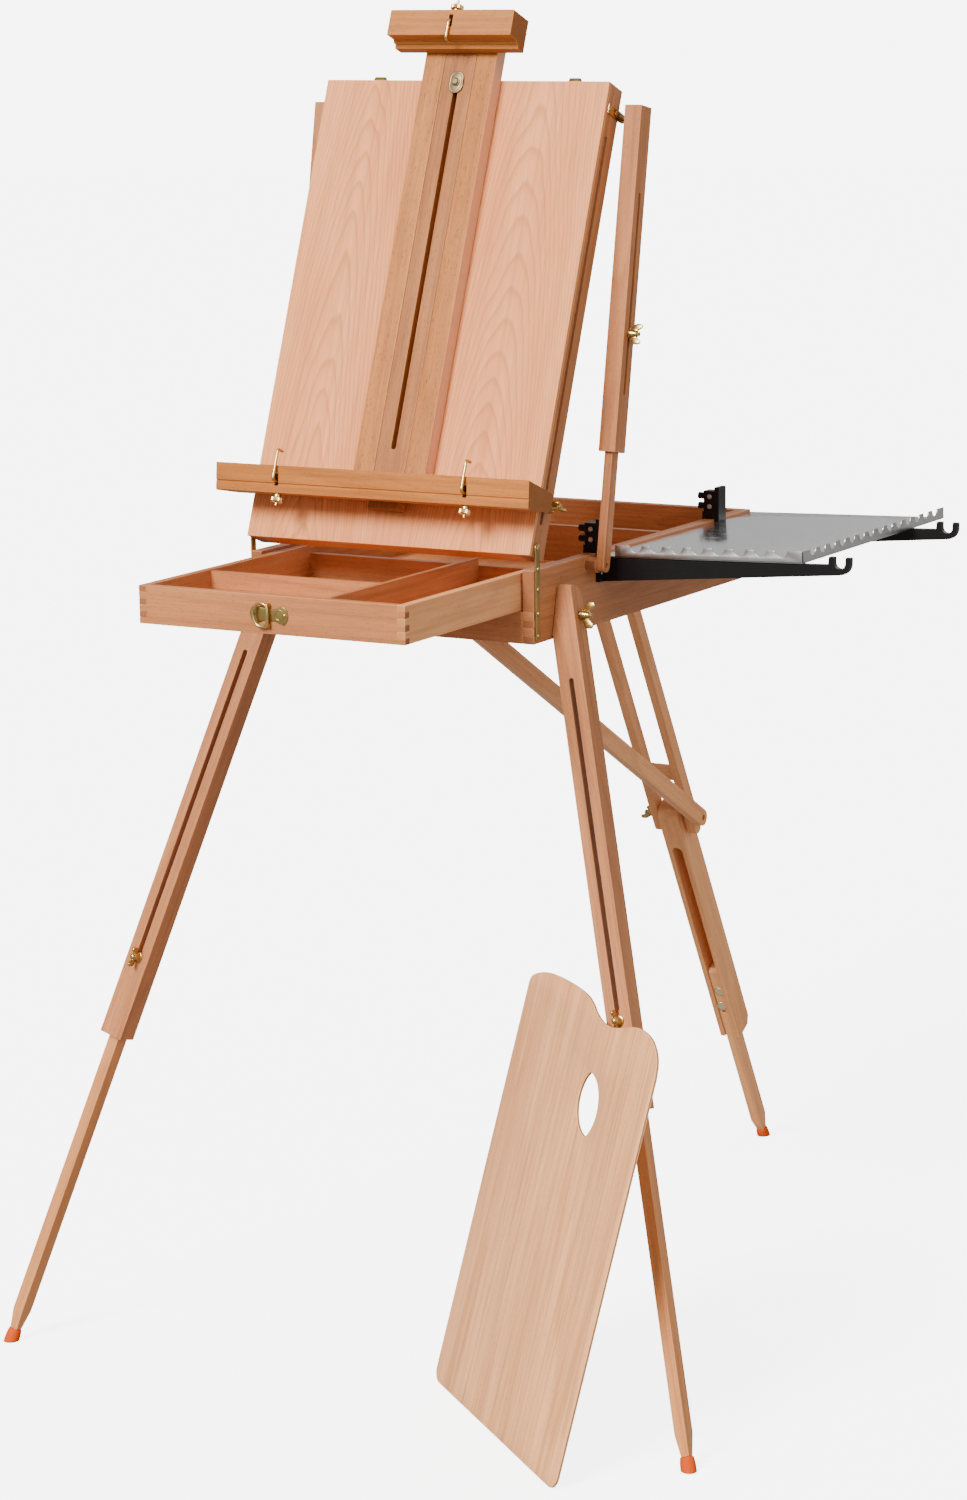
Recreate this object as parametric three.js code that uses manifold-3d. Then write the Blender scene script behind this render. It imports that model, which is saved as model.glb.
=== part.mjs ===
// Folding box easel: sketch box with drawer, tilting lid, sliding canvas mast,
// telescoping front legs, braced rear leg, clip-on side tray and palette.
// Millimetres, +Z up. +Y runs from the drawer front to the rear leg.
import * as THREE from 'three';
import { mergeVertices } from 'three/addons/utils/BufferGeometryUtils.js';
import Module from 'manifold-3d';

const wasm = await Module();
wasm.setup();

// ---------------------------------------------------------------- driving sizes
const GAP = 0.3; // running clearance between neighbours
const BOX_HALF = 185; // half of the box width
const BOX_DEPTH = 560;
const BOX_HEIGHT = 83;
const WALL = 14; // box wall thickness
const FRONT_PANEL_HEIGHT = 36.5; // fixed panel below the drawer
const FLOOR_LEVEL = -869.7; // floor below the box underside
const BOTTOM_Z = [33.6, 36.6]; // plywood bottom, above the leg recess
const PARTITION_Y = [352, 362];

const DRAWER_HALF = 168.4;
const DRAWER_FRONT_Y = -252.5; // drawn out, as it stands for painting
const DRAWER_REAR_Y = 96;
const DRAWER_Z = [37.3, 79.8];
const DRAWER_WALL = 10;
const DRAWER_REAR_TOP = 70;

const LID_PIVOT = [0, 7.3, 107.3]; // hinge line of the lid
const LID_ANGLE = THREE.MathUtils.degToRad(68.66);
const LID_HALF = 184.6;
const LID_S = [-10.9, 534.6]; // extent along the lid from its hinge line
const LID_FACE = 12.3; // plywood face, in front of the hinge line
const LID_PLY = 5;
const LID_BACK = -21.3;
const LID_RAIL = 15;
const LID_SLOT = [26.6, 475];
const SLOT_T = -2; // height of the clamping slot behind the hinge line

const LEDGE_HALF = 202.7;
const LEDGE_BOLT_S = 49;
const MAST_HALF = 46.5;
const MAST_TOP = 585;
const SLIDER_HALF = 20;
const MAST_T = [12.6, 32];
const MAST_BACK_T = 18;
const HOOK_X = 122; // canvas hooks either side of the centre
const CLAMP_HALF = 80.3;

const STAY_PIVOT = [129, 73]; // y, z of the pivot on the box side
const STAY_TOP_S = 505.4; // upper stay pivot, measured in the lid's frame
const STAY_TOP_T = -30.4;
const STAY_X = [193.8, 215]; // channel, outboard of the box side
const ROD_X = [199.5, 209.5];
const STAY_BOLT = 262; // wing bolt, from the lower pivot
const STAY_SLOT = [192, 420];
const CHANNEL_SPAN = [128, 517];

const LEG_PIVOT = [194.6, 60.8, 27]; // centre of the front leg at its bolt
const LEG_RAKE = THREE.MathUtils.degToRad(14.04); // forward lean
const LEG_SPLAY = THREE.MathUtils.degToRad(15.69); // outward lean
const LEG_HALF_W = 15.3;
const LEG_HALF_D = 14;
const LEG_UPPER_END = 562; // distances down the leg from its bolt
const LEG_TOP = 32;
const LEG_SLOT = [75, 469];
const LEG_CLAMP = 462;
const LEG_LOWER_TOP = 446;
const LEG_TAPER = 918;
const LEG_BOOT = 943; // where the rubber foot begins

const REAR_PIVOT = [517.2, 15]; // y, z of the rear leg's cross dowel
const REAR_RAKE = THREE.MathUtils.degToRad(28.92);
const REAR_KNEE = 419.3; // distances down the rear leg from its dowel
const REAR_RAIL_END = 446;
const REAR_BOARD = [398, 805];
const REAR_BOARD_HALF = [14.5, 18.6];
const REAR_GROOVE_TOP = 462;
const REAR_LOWER_TOP = 683;
const REAR_TAPER = 970;
const REAR_BOOT = 993;

const BRACE_PIVOT = [92, 10]; // y, z of the dowel the brace hangs from
const BRACE_X = [30.6, 42.6];
const BRACE_HALF = 11;

const ARM_Y = [158, 467]; // side-tray arms along the box side
const TRAY_X = [186, 443];
const TRAY_Y = [152, 558];
const TRAY_Z = 78.7;
const TRAY_TILT = 0.031; // rise per millimetre away from the box
const RIM_HEIGHT = 13.7;

const PALETTE = { x: 67.4, y: -39.6, turn: -39.73, lean: 14.99, thick: 4 };

// ---------------------------------------------------------------- materials
function finish(color, roughness, metalness) {
  return new THREE.MeshStandardMaterial({ color, roughness, metalness });
}
const BEECH = finish('#c8946a', 0.55, 0);
const PLY = finish('#d6aa86', 0.6, 0);
const PALE_PLY = finish('#dcb894', 0.65, 0);
const BRASS = finish('#b59a63', 0.3, 1);
const STEEL_BLACK = finish('#17181a', 0.5, 0.2);
const SHEET = finish('#b4b7ba', 0.35, 1);
const RUBBER = finish('#e4632c', 0.8, 0);

// ---------------------------------------------------------------- shape helpers
function block(x0, x1, y0, y1, z0, z1) {
  const g = new THREE.BoxGeometry(x1 - x0, y1 - y0, z1 - z0);
  return g.translate((x0 + x1) / 2, (y0 + y1) / 2, (z0 + z1) / 2);
}

function outline(points, clockwise = false) {
  const pts = points.map(([u, v]) => new THREE.Vector2(u, v));
  return new THREE.Shape(THREE.ShapeUtils.isClockWise(pts) === clockwise ? pts : pts.reverse());
}

// Prism of a flat outline: axis x takes (y, z) points, y takes (x, z), z takes (x, y).
function prism(axis, points, lo, hi, holes = []) {
  const swap = axis === 'y' ? ([u, v]) => [v, u] : (p) => p;
  const shape = outline(points.map(swap));
  for (const hole of holes) shape.holes.push(outline(hole.map(swap), true));
  const g = new THREE.ExtrudeGeometry(shape, { depth: hi - lo, bevelEnabled: false });
  g.translate(0, 0, lo);
  const m = new THREE.Matrix4();
  if (axis === 'x') m.set(0, 0, 1, 0, 1, 0, 0, 0, 0, 1, 0, 0, 0, 0, 0, 1);
  if (axis === 'y') m.set(0, 1, 0, 0, 0, 0, 1, 0, 1, 0, 0, 0, 0, 0, 0, 1);
  return g.applyMatrix4(m);
}

function bar(axis, a, b, r, lo, hi, sides = 12, r2 = r) {
  // Round bar along one axis; a and b are its other two coordinates in x, y, z order.
  const g = new THREE.CylinderGeometry(r2, r, hi - lo, sides);
  if (axis === 'x') return g.rotateZ(-Math.PI / 2).translate((lo + hi) / 2, a, b);
  if (axis === 'y') return g.translate(a, (lo + hi) / 2, b);
  return g.rotateX(Math.PI / 2).translate(a, b, (lo + hi) / 2);
}

function arc(cx, cy, r, from, to, steps) {
  const pts = [];
  for (let i = 0; i <= steps; i++) {
    const a = THREE.MathUtils.degToRad(from + ((to - from) * i) / steps);
    pts.push([cx + r * Math.cos(a), cy + r * Math.sin(a)]);
  }
  return pts;
}

function slotHole(u0, u1, v, halfWidth, along = 'u') {
  // Stadium outline running from u0 to u1 about the line v.
  const pts = [
    ...arc(u1 - halfWidth, v, halfWidth, -90, 90, 5),
    ...arc(u0 + halfWidth, v, halfWidth, 90, 270, 5),
  ];
  return along === 'u' ? pts : pts.map(([u, w]) => [w, u]);
}

function solid(geometry) {
  let g = geometry.clone();
  g.deleteAttribute('normal');
  g.deleteAttribute('uv');
  g = mergeVertices(g, 1e-4);
  return new wasm.Manifold(
    new wasm.Mesh({
      numProp: 3,
      vertProperties: new Float32Array(g.attributes.position.array),
      triVerts: new Uint32Array(g.index.array),
    }),
  );
}

function surface(manifold) {
  const m = manifold.getMesh();
  const g = new THREE.BufferGeometry();
  g.setAttribute('position', new THREE.BufferAttribute(new Float32Array(m.vertProperties), 3));
  g.setIndex(new THREE.BufferAttribute(new Uint32Array(m.triVerts), 1));
  const flat = g.toNonIndexed();
  flat.computeVertexNormals();
  return flat;
}

function join(...geometries) {
  return surface(geometries.map(solid).reduce((a, b) => a.add(b)));
}

function cut(geometry, ...tools) {
  return surface(tools.map(solid).reduce((a, b) => a.subtract(b), solid(geometry)));
}

function common(a, b) {
  return surface(solid(a).intersect(solid(b)));
}

function mirrorX(geometry) {
  const g = geometry.index ? geometry.toNonIndexed() : geometry.clone();
  const p = g.attributes.position;
  for (let i = 0; i < p.count; i += 3) {
    const c = [0, 1, 2].map((k) => [-p.getX(i + k), p.getY(i + k), p.getZ(i + k)]);
    [c[0], c[2], c[1]].forEach((v, k) => p.setXYZ(i + k, ...v));
  }
  g.computeVertexNormals();
  return g;
}

const easel = new THREE.Group();
easel.name = 'easel';

function place(name, geometry, material, parent = easel) {
  const mesh = new THREE.Mesh(geometry, material.clone());
  mesh.name = name;
  parent.add(mesh);
  return mesh;
}

function pair(name, geometry, material, parentR = easel, parentL = parentR) {
  // The geometry is drawn for the right-hand (+X) side.
  place(`${name}_r`, geometry, material, parentR);
  place(`${name}_l`, mirrorX(geometry), material, parentL);
}

function frame(position, rx = 0, ry = 0, parent = easel) {
  const g = new THREE.Group();
  g.position.set(...position);
  g.rotation.set(rx, ry, 0);
  parent.add(g);
  return g;
}

// Thumb bolt along +X: shank, washer, tapered hub and two raised wings.
const WING_TURN = THREE.MathUtils.degToRad(78); // how far the tightened wings stand from level
function wingBolt(shankFrom, seat, r = 3, span = 13) {
  const hub = bar('x', 0, 0, 5, seat + 1.2, seat + 9, 10, 3.6);
  const washer = bar('x', 0, 0, 6.5, seat, seat + 1.6, 12);
  const shank = bar('x', 0, 0, r, shankFrom, seat + 13, 8);
  const wing = [
    [seat + 2, 2.5],
    [seat + 4, span - 3],
    [seat + 9, span],
    [seat + 14, span - 1],
    [seat + 15, span - 5],
    [seat + 10, 5],
    [seat + 8, 2.5],
  ];
  const up = prism('z', wing, -1.1, 1.1);
  const down = prism('z', wing.map(([u, v]) => [u, -v]).reverse(), -1.1, 1.1);
  return join(shank, washer, hub, up, down);
}

// ---------------------------------------------------------------- box
function boxSide() {
  const f = FRONT_PANEL_HEIGHT / 4;
  const back = BOX_HEIGHT / 7;
  const pts = [
    [0, 0],
    [0, f],
    [WALL, f],
    [WALL, 2 * f],
    [0, 2 * f],
    [0, 3 * f],
    [WALL, 3 * f],
    [WALL, 4 * f],
    [0, 4 * f],
    [0, BOX_HEIGHT],
    [BOX_DEPTH, BOX_HEIGHT],
  ];
  for (let i = 6; i > 0; i--) {
    const y = i % 2 ? [BOX_DEPTH - WALL, BOX_DEPTH] : [BOX_DEPTH, BOX_DEPTH - WALL];
    pts.push([y[0], i * back], [y[1], i * back]);
  }
  pts.push([BOX_DEPTH, 0]);
  const panel = prism('x', pts, BOX_HALF - WALL, BOX_HALF);
  const boss = bar('x', ...STAY_PIVOT, 9, BOX_HALF - 2, ROD_X[0] - GAP, 16);
  const stayScrew = bar('x', ...STAY_PIVOT, 2.6, BOX_HALF - 2, ROD_X[1] - 2, 8);
  const legHole = bar('x', LEG_PIVOT[1], LEG_PIVOT[2], 3.8, 160, 190, 12);
  const rearHole = bar('x', ...REAR_PIVOT, 6.6, 160, 180, 16);
  const braceHole = bar('x', ...BRACE_PIVOT, 5.2, 160, 180, 12);
  const whole = join(panel, boss, stayScrew);
  return cut(whole, legHole, rearHole, braceHole);
}

function combPanel(halfWidth, wall, height, fingers, first) {
  // End panel seen from the front: its ends carry fingers between those of the sides.
  const step = height / fingers;
  const right = [];
  for (let i = 0; i < fingers; i++) {
    const out = (i + first) % 2 === 0;
    const x = out ? halfWidth : halfWidth - wall;
    right.push([x, i * step], [x, (i + 1) * step]);
  }
  const left = right.map(([x, z]) => [-x, z]).reverse();
  return [...right, ...left];
}

const sideR = boxSide();
place('box_side_r', sideR, BEECH);
place('box_side_l', mirrorX(sideR), BEECH);
place(
  'box_front_panel',
  prism('y', combPanel(BOX_HALF, WALL, FRONT_PANEL_HEIGHT, 4, 1), 0, WALL),
  BEECH,
);
place(
  'box_back_panel',
  prism('y', combPanel(BOX_HALF, WALL, BOX_HEIGHT, 7, 1), BOX_DEPTH - WALL, BOX_DEPTH),
  BEECH,
);
place(
  'box_bottom_panel',
  block(WALL - BOX_HALF, BOX_HALF - WALL, WALL, BOX_DEPTH - WALL, ...BOTTOM_Z),
  PLY,
);
place(
  'box_partition',
  block(WALL - BOX_HALF, BOX_HALF - WALL, ...PARTITION_Y, BOTTOM_Z[1], BOX_HEIGHT - 3),
  BEECH,
);
place('brace_dowel', bar('x', ...BRACE_PIVOT, 5, 12 - BOX_HALF, BOX_HALF - 12, 12), BEECH);

// Hinge plate on the box side, reaching up to the lid's hinge line.
function hingePlate() {
  const y = LID_PIVOT[1];
  const z = LID_PIVOT[2];
  const plate = prism('x', [...arc(y, z, 5.5, 0, 180, 8), [y - 4.5, 4], [y + 4.5, 4]], BOX_HALF, BOX_HALF + 2);
  const heads = [7.5, 34, 61].map((h) => bar('x', y, h, 3, BOX_HALF + 1, BOX_HALF + 3, 10));
  const rivet = bar('x', y, z, 3.2, BOX_HALF + 1, BOX_HALF + 3.4, 10);
  const pin = bar('x', y, z, 2.4, LID_HALF - 9, BOX_HALF + 1, 8);
  return join(plate, rivet, pin, ...heads);
}
pair('lid_hinge', hingePlate(), BRASS);

// ---------------------------------------------------------------- drawer
const [dz0, dz1] = DRAWER_Z;
const drawer = frame([0, DRAWER_FRONT_Y, dz0]);
const drawerLength = DRAWER_REAR_Y - DRAWER_FRONT_Y;
const drawerHeight = dz1 - dz0;

function drawerSide() {
  const f = drawerHeight / 6;
  const pts = [];
  for (let i = 0; i < 6; i++) {
    const y = i % 2 ? 0 : DRAWER_WALL;
    pts.push([y, i * f], [y, (i + 1) * f]);
  }
  pts.push([drawerLength, drawerHeight], [drawerLength, 0]);
  return prism('x', pts, DRAWER_HALF - DRAWER_WALL, DRAWER_HALF);
}
pair('drawer_side', drawerSide(), BEECH, drawer);
place(
  'drawer_front',
  prism('y', combPanel(DRAWER_HALF, DRAWER_WALL, drawerHeight, 6, 0), 0, DRAWER_WALL),
  BEECH,
  drawer,
);
const inner = DRAWER_HALF - DRAWER_WALL;
place(
  'drawer_rear',
  block(-inner, inner, drawerLength - DRAWER_WALL, drawerLength, 0, DRAWER_REAR_TOP - dz0),
  BEECH,
  drawer,
);
place(
  'drawer_bottom',
  block(-inner, inner, DRAWER_WALL, drawerLength - DRAWER_WALL, 2, 5),
  PLY,
  drawer,
);
const DIVIDER_X = 64;
const DIVIDER_Y = 128; // behind the drawer front
const longDivider = block(
  DIVIDER_X - 3,
  DIVIDER_X + 3,
  DRAWER_WALL,
  drawerLength - DRAWER_WALL,
  5,
  drawerHeight - 1,
);
const crossDivider = block(-inner, DIVIDER_X, DIVIDER_Y, DIVIDER_Y + 6, 5, drawerHeight - 1.5);
place('drawer_dividers', join(longDivider, crossDivider), BEECH, drawer);

// Two-lobed escutcheon with a drop ring on an upright bar.
const latchZ = drawerHeight / 2;
const lobes = [
  ...arc(13, latchZ, 11, -70, 70, 8),
  [4, latchZ + 8],
  [-4, latchZ + 8],
  ...arc(-13, latchZ, 11, 110, 250, 8),
  [-4, latchZ - 8],
  [4, latchZ - 8],
];
const latchPlate = join(
  prism('y', lobes, -1.6, 0),
  bar('y', 15, latchZ, 3, -2.8, -1, 10),
  bar('y', -15, latchZ, 3, -2.8, -1, 10),
  block(-1.6, 1.6, -3.2, -1, latchZ + 9.5, latchZ + 13),
  block(-1.6, 1.6, -3.2, -1, latchZ - 13, latchZ - 9.5),
  block(-1.6, 1.6, -1.8, 0, latchZ - 13, latchZ + 13),
);
place('latch_plate', latchPlate, BRASS, drawer);
const ringOuter = arc(-7, latchZ, 12, 60, 300, 14).map(([x, z]) => [x, latchZ + (z - latchZ) * 1.25]);
const ringInner = arc(-7, latchZ, 9, 60, 300, 14).map(([x, z]) => [x, latchZ + (z - latchZ) * 1.28]);
const ringEar = latchZ + 9;
const latchRing = join(
  prism('y', [...ringOuter, ...ringInner.reverse()], -6.6, -4),
  bar('z', 0, -5.2, 1.7, latchZ - 12.5, latchZ + 12.5, 8),
);
place('latch_ring', latchRing, BRASS, drawer);

// ---------------------------------------------------------------- lid (local x, s, t)
const lid = frame(LID_PIVOT, LID_ANGLE);
place('lid_panel', block(-LID_HALF, LID_HALF, ...LID_S, LID_FACE - LID_PLY, LID_FACE), PLY, lid);

function lidFrame() {
  const t1 = LID_FACE - LID_PLY - 0.2;
  const inside = LID_HALF - LID_RAIL;
  const outer = [
    [-LID_HALF, LID_S[0]],
    [LID_HALF, LID_S[0]],
    [LID_HALF, LID_S[1]],
    [-LID_HALF, LID_S[1]],
  ];
  const hole = [
    [-inside, LID_S[0] + LID_RAIL],
    [inside, LID_S[0] + LID_RAIL],
    [inside, LID_S[1] - LID_RAIL],
    [-inside, LID_S[1] - LID_RAIL],
  ];
  const ring = prism('z', outer, LID_BACK, t1, [hole]);
  const slots = prism('x', slotHole(...LID_SLOT, SLOT_T, 3), -LID_HALF - 1, LID_HALF + 1);
  const pins = bar('x', 0, 0, 3.1, -LID_HALF - 1, LID_HALF + 1, 12);
  const keep = block(-inside + 1, inside - 1, LID_S[0] - 1, LID_S[1] + 1, LID_BACK - 1, t1 + 1);
  const sideTools = surface(solid(slots).add(solid(pins)).subtract(solid(keep)));
  return cut(ring, sideTools);
}
place('lid_frame', lidFrame(), BEECH, lid);

// Sprung catches on the far edge of the lid.
function lidCatch() {
  const s = LID_S[1];
  const plate = block(-11, 11, s, s + 1.5, -18, -5);
  const nose = prism('x', [[s + 1, -15], [s + 10, -13.5], [s + 11.4, -8], [s + 1, -6]], -7, 7);
  return join(plate, nose).translate(128, 0, 0);
}
pair('lid_catch', lidCatch(), BRASS, lid);

// Brass strap on the lid side that reaches back to the stay's upper pivot.
function stayBracket() {
  const s = STAY_TOP_S;
  const t = STAY_TOP_T;
  const strap = prism(
    'x',
    [[s - 5, 6.5], [s - 7, t + 2], ...arc(s, t, 5, 180, 360, 6), [s + 6, t + 2], [s + 5, 6.5]],
    LID_HALF,
    LID_HALF + 1.6,
  );
  const pin = bar('x', s, t, 2.2, LID_HALF + 0.5, STAY_X[0] + 4, 8);
  const heads = [2, -13].map((v) => bar('x', s, v, 2.8, LID_HALF + 1, LID_HALF + 2.8, 10));
  return join(strap, pin, ...heads);
}
pair('stay_bracket', stayBracket(), BRASS, lid);

// ---------------------------------------------------------------- ledge and mast
const ledgeProfile = [
  [59, 73.8],
  [40.2, 68.3],
  [39.4, 66.2],
  [38.2, 67.6],
  [29.4, 65],
  [28.9, 62],
  [36.5, 21],
  [41, 12.9],
  [58.4, 12.9],
  [59, 16],
];

function ledge() {
  const body = prism('x', ledgeProfile, -LEDGE_HALF, LEDGE_HALF);
  const ear = block(LID_HALF + 3.6, LID_HALF + 9, 41.5, 56.5, SLOT_T - 7, 20);
  const earHole = bar('x', LEDGE_BOLT_S, SLOT_T, 3.2, 180, 200, 12);
  const notch = block(-SLIDER_HALF - 4, SLIDER_HALF + 4, 0, 80, 0, MAST_T[1] + GAP);
  const tools = [notch, earHole, mirrorX(earHole)];
  for (const x of [-HOOK_X, HOOK_X]) {
    tools.push(block(x - 2.5, x + 2.5, 37, 50, 58, 80));
    tools.push(block(x - 2.5, x + 2.5, 10, 50, 58, 63));
  }
  return cut(join(body, ear, mirrorX(ear)), ...tools);
}
place('tray_ledge', ledge(), BEECH, lid);

// Canvas hook: threaded stud with knurled nut, bent out and up in front of the ledge.
function canvasHook() {
  const r = 1.7;
  const stud = bar('y', 0, 60.5, r, 16, 43, 8);
  const out = bar('z', 0, 41.5, r, 60.5, 77, 8);
  const up = bar('y', 0, 76.2, r, 40, 78, 8);
  const tip = bar('z', 0, 76.5, r, 66, 77.5, 8);
  const nut = bar('y', 0, 60.5, 7, 19.5, 25, 16);
  const collar = bar('y', 0, 60.5, 4.4, 24.5, 28.2, 12);
  return join(stud, out, up, tip, nut, collar);
}
place('canvas_hook_r', canvasHook().translate(HOOK_X, 0, 0), BRASS, lid);
place('canvas_hook_l', canvasHook().translate(-HOOK_X, 0, 0), BRASS, lid);

const ledgeBolt = wingBolt(162, LID_HALF + 9.3, 2.5, 12).rotateX(WING_TURN);
pair('ledge_bolt', join(ledgeBolt, bar('x', 0, 0, 5.5, 160, 163.4, 6)).translate(0, LEDGE_BOLT_S, SLOT_T), BRASS, lid);

const tongueT = [21.5, 25.5];
function mastFrame() {
  const g = SLIDER_HALF + GAP + 0.2;
  const pts = [
    [-MAST_HALF, MAST_T[0]],
    [MAST_HALF, MAST_T[0]],
    [MAST_HALF, MAST_T[1]],
    [g, MAST_T[1]],
    [g, tongueT[1] + GAP],
    [g + 3, tongueT[1] + GAP],
    [g + 3, tongueT[0] - GAP],
    [g, tongueT[0] - GAP],
    [g, MAST_BACK_T],
    [-g, MAST_BACK_T],
    [-g, tongueT[0] - GAP],
    [-g - 3, tongueT[0] - GAP],
    [-g - 3, tongueT[1] + GAP],
    [-g, tongueT[1] + GAP],
    [-g, MAST_T[1]],
    [-MAST_HALF, MAST_T[1]],
  ];
  const body = prism('y', pts, 59.3, MAST_TOP);
  const boltHole = bar('z', 0, 525, 2.8, 0, MAST_T[1], 12);
  return cut(body, boltHole);
}
place('mast_frame', mastFrame(), BEECH, lid);

function slider() {
  const g = SLIDER_HALF;
  const t0 = MAST_BACK_T + GAP;
  const pts = [
    [-g, t0],
    [g, t0],
    [g, tongueT[0]],
    [g + 2.8, tongueT[0]],
    [g + 2.8, tongueT[1]],
    [g, tongueT[1]],
    [g, MAST_T[1] - 0.4],
    [-g, MAST_T[1] - 0.4],
    [-g, tongueT[1]],
    [-g - 2.8, tongueT[1]],
    [-g - 2.8, tongueT[0]],
    [-g, tongueT[0]],
  ];
  const body = prism('y', pts, 26, 597);
  const slot = prism('z', slotHole(95, 529, 0, 3, 'v'), 10, 40);
  return cut(body, slot);
}
place('mast_slider', slider(), BEECH, lid);

// Oval clamp plate over the slider's slot, on a bolt through the mast's back.
const plateOutline = [
  ...arc(0, 525 + 4, 9, 0, 180, 8),
  ...arc(0, 525 - 4, 9, 180, 360, 8),
];
const clampPlate = join(
  prism('z', plateOutline, MAST_T[1], MAST_T[1] + 1.8),
  bar('z', 0, 525, 4.2, MAST_T[1] + 1, MAST_T[1] + 4.6, 10),
  bar('z', 0, 525, 2.3, MAST_T[0] + 0.4, MAST_T[1] + 2, 8),
);
place('slider_plate', clampPlate, BRASS, lid);

const CLAMP_T0 = MAST_T[1] + GAP;
const clampProfile = [
  [597.5, CLAMP_T0],
  [597.5, 68.9],
  [567.7, 68.9],
  [567.7, 53],
  [564.2, 51],
  [564.2, 47.5],
  [559.5, 46.5],
  [559.5, CLAMP_T0],
];
function clampBlock() {
  const body = prism('x', clampProfile, -CLAMP_HALF, CLAMP_HALF);
  const slot = block(-2.5, 2.5, 578, 592, 56, 75);
  const well = block(-2.5, 2.5, 578, 600, 56, 61);
  const tenon = block(-14, 14, 575, 590, MAST_T[1] - 4, CLAMP_T0 + 4);
  return cut(join(body, tenon), slot, well);
}
place('clamp_block', clampBlock(), BEECH, lid);
const mortised = lid.getObjectByName('mast_slider');
mortised.geometry = cut(mortised.geometry, block(-14.1, 14.1, 574.9, 590.1, MAST_T[1] - 4.1, 40));

function clampHook() {
  const r = 1.7;
  const stud = bar('y', 0, 58.5, r, 583, 612, 8);
  const out = bar('z', 0, 585, r, 58.5, 73, 8);
  const down = bar('y', 0, 72, r, 561, 586.5, 8);
  const tip = bar('z', 0, 562, r, 63, 73.5, 8);
  const nut = bar('y', 0, 58.5, 7.5, 601, 606.5, 16);
  const collar = bar('y', 0, 58.5, 4.6, 597.9, 601.5, 12);
  return join(stud, out, down, tip, nut, collar);
}
place('clamp_hook', clampHook(), BRASS, lid);

// ---------------------------------------------------------------- lid stays
const stayTopY = LID_PIVOT[1] + STAY_TOP_S * Math.cos(LID_ANGLE) - STAY_TOP_T * Math.sin(LID_ANGLE);
const stayTopZ = LID_PIVOT[2] + STAY_TOP_S * Math.sin(LID_ANGLE) + STAY_TOP_T * Math.cos(LID_ANGLE);
const stayLean = Math.atan2(stayTopY - STAY_PIVOT[0], stayTopZ - STAY_PIVOT[1]);
const stay = frame([0, ...STAY_PIVOT], -stayLean);

function stayRod() {
  const outer = [
    ...arc(0, 0, 8, 180, 360, 8),
    [8, STAY_BOLT + 10],
    [-8, STAY_BOLT + 10],
  ];
  const body = prism('x', outer, ...ROD_X);
  const pivot = bar('x', 0, 0, 3, ROD_X[0] - 1, ROD_X[1] + 1, 12);
  const bolt = bar('x', 0, STAY_BOLT, 2.9, ROD_X[0] - 1, ROD_X[1] + 1, 12);
  return cut(body, pivot, bolt);
}
function stayChannel() {
  const [x0, x1] = STAY_X;
  const body = block(x0, x1, -13, 13, ...CHANNEL_SPAN);
  const groove = block(x0 - 1, ROD_X[1] + 0.4, -8.5, 8.5, CHANNEL_SPAN[0] - 1, CHANNEL_SPAN[1] - 6);
  const slot = prism('x', slotHole(...STAY_SLOT, 0, 3, 'v'), x0, x1 + 1);
  return cut(body, groove, slot);
}
pair('stay_rod', stayRod(), BEECH, stay);
pair('stay_channel', stayChannel(), BEECH, stay);
const stayBolt = join(
  wingBolt(ROD_X[0] - 2, STAY_X[1] + GAP, 2.4, 12).rotateX(WING_TURN),
  bar('x', 0, 0, 5, ROD_X[0] - 3.6, ROD_X[0] - GAP, 6),
).translate(0, 0, STAY_BOLT);
pair('stay_bolt', stayBolt, BRASS, stay);

// ---------------------------------------------------------------- front legs
function legUpper() {
  // Drawn in the leg's raked plane: x across the easel, z up the rake from the bolt.
  const t = Math.tan(LEG_SPLAY);
  const half = LEG_HALF_W / Math.cos(LEG_SPLAY);
  const flush = BOX_HALF + GAP + 0.4 - LEG_PIVOT[0];
  const turnZ = -(flush + half) / t;
  const c = Math.cos(LEG_SPLAY);
  const s = Math.sin(LEG_SPLAY);
  const endX = LEG_UPPER_END * s;
  const endZ = -LEG_UPPER_END * c;
  const across = [
    [flush, LEG_TOP],
    [flush, turnZ],
    [endX - LEG_HALF_W * c, endZ - LEG_HALF_W * s],
    [endX + LEG_HALF_W * c, endZ + LEG_HALF_W * s],
    [half - LEG_TOP * t, LEG_TOP],
  ];
  const d = LEG_HALF_D;
  const side = [
    [-d, LEG_TOP - 3],
    [-d + 3, LEG_TOP],
    ...arc(d - 14, LEG_TOP - 14, 14, 90, 0, 6),
    [d, endZ - 20],
    [-d, endZ - 20],
  ];
  const body = common(prism('y', across, -d, d), prism('x', side, -30, endX + 40));
  const groove = block(-7.4, 7.4, -5.4, d + 1, -LEG_UPPER_END - 30, -55).rotateY(-LEG_SPLAY);
  const slot = prism('y', slotHole(-LEG_SLOT[1], -LEG_SLOT[0], 0, 3, 'v'), -d - 1, 0);
  slot.rotateY(-LEG_SPLAY);
  const bolt = bar('x', 0, 0, 3.7, -30, 30, 12);
  return cut(body, groove, slot, bolt);
}

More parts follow.
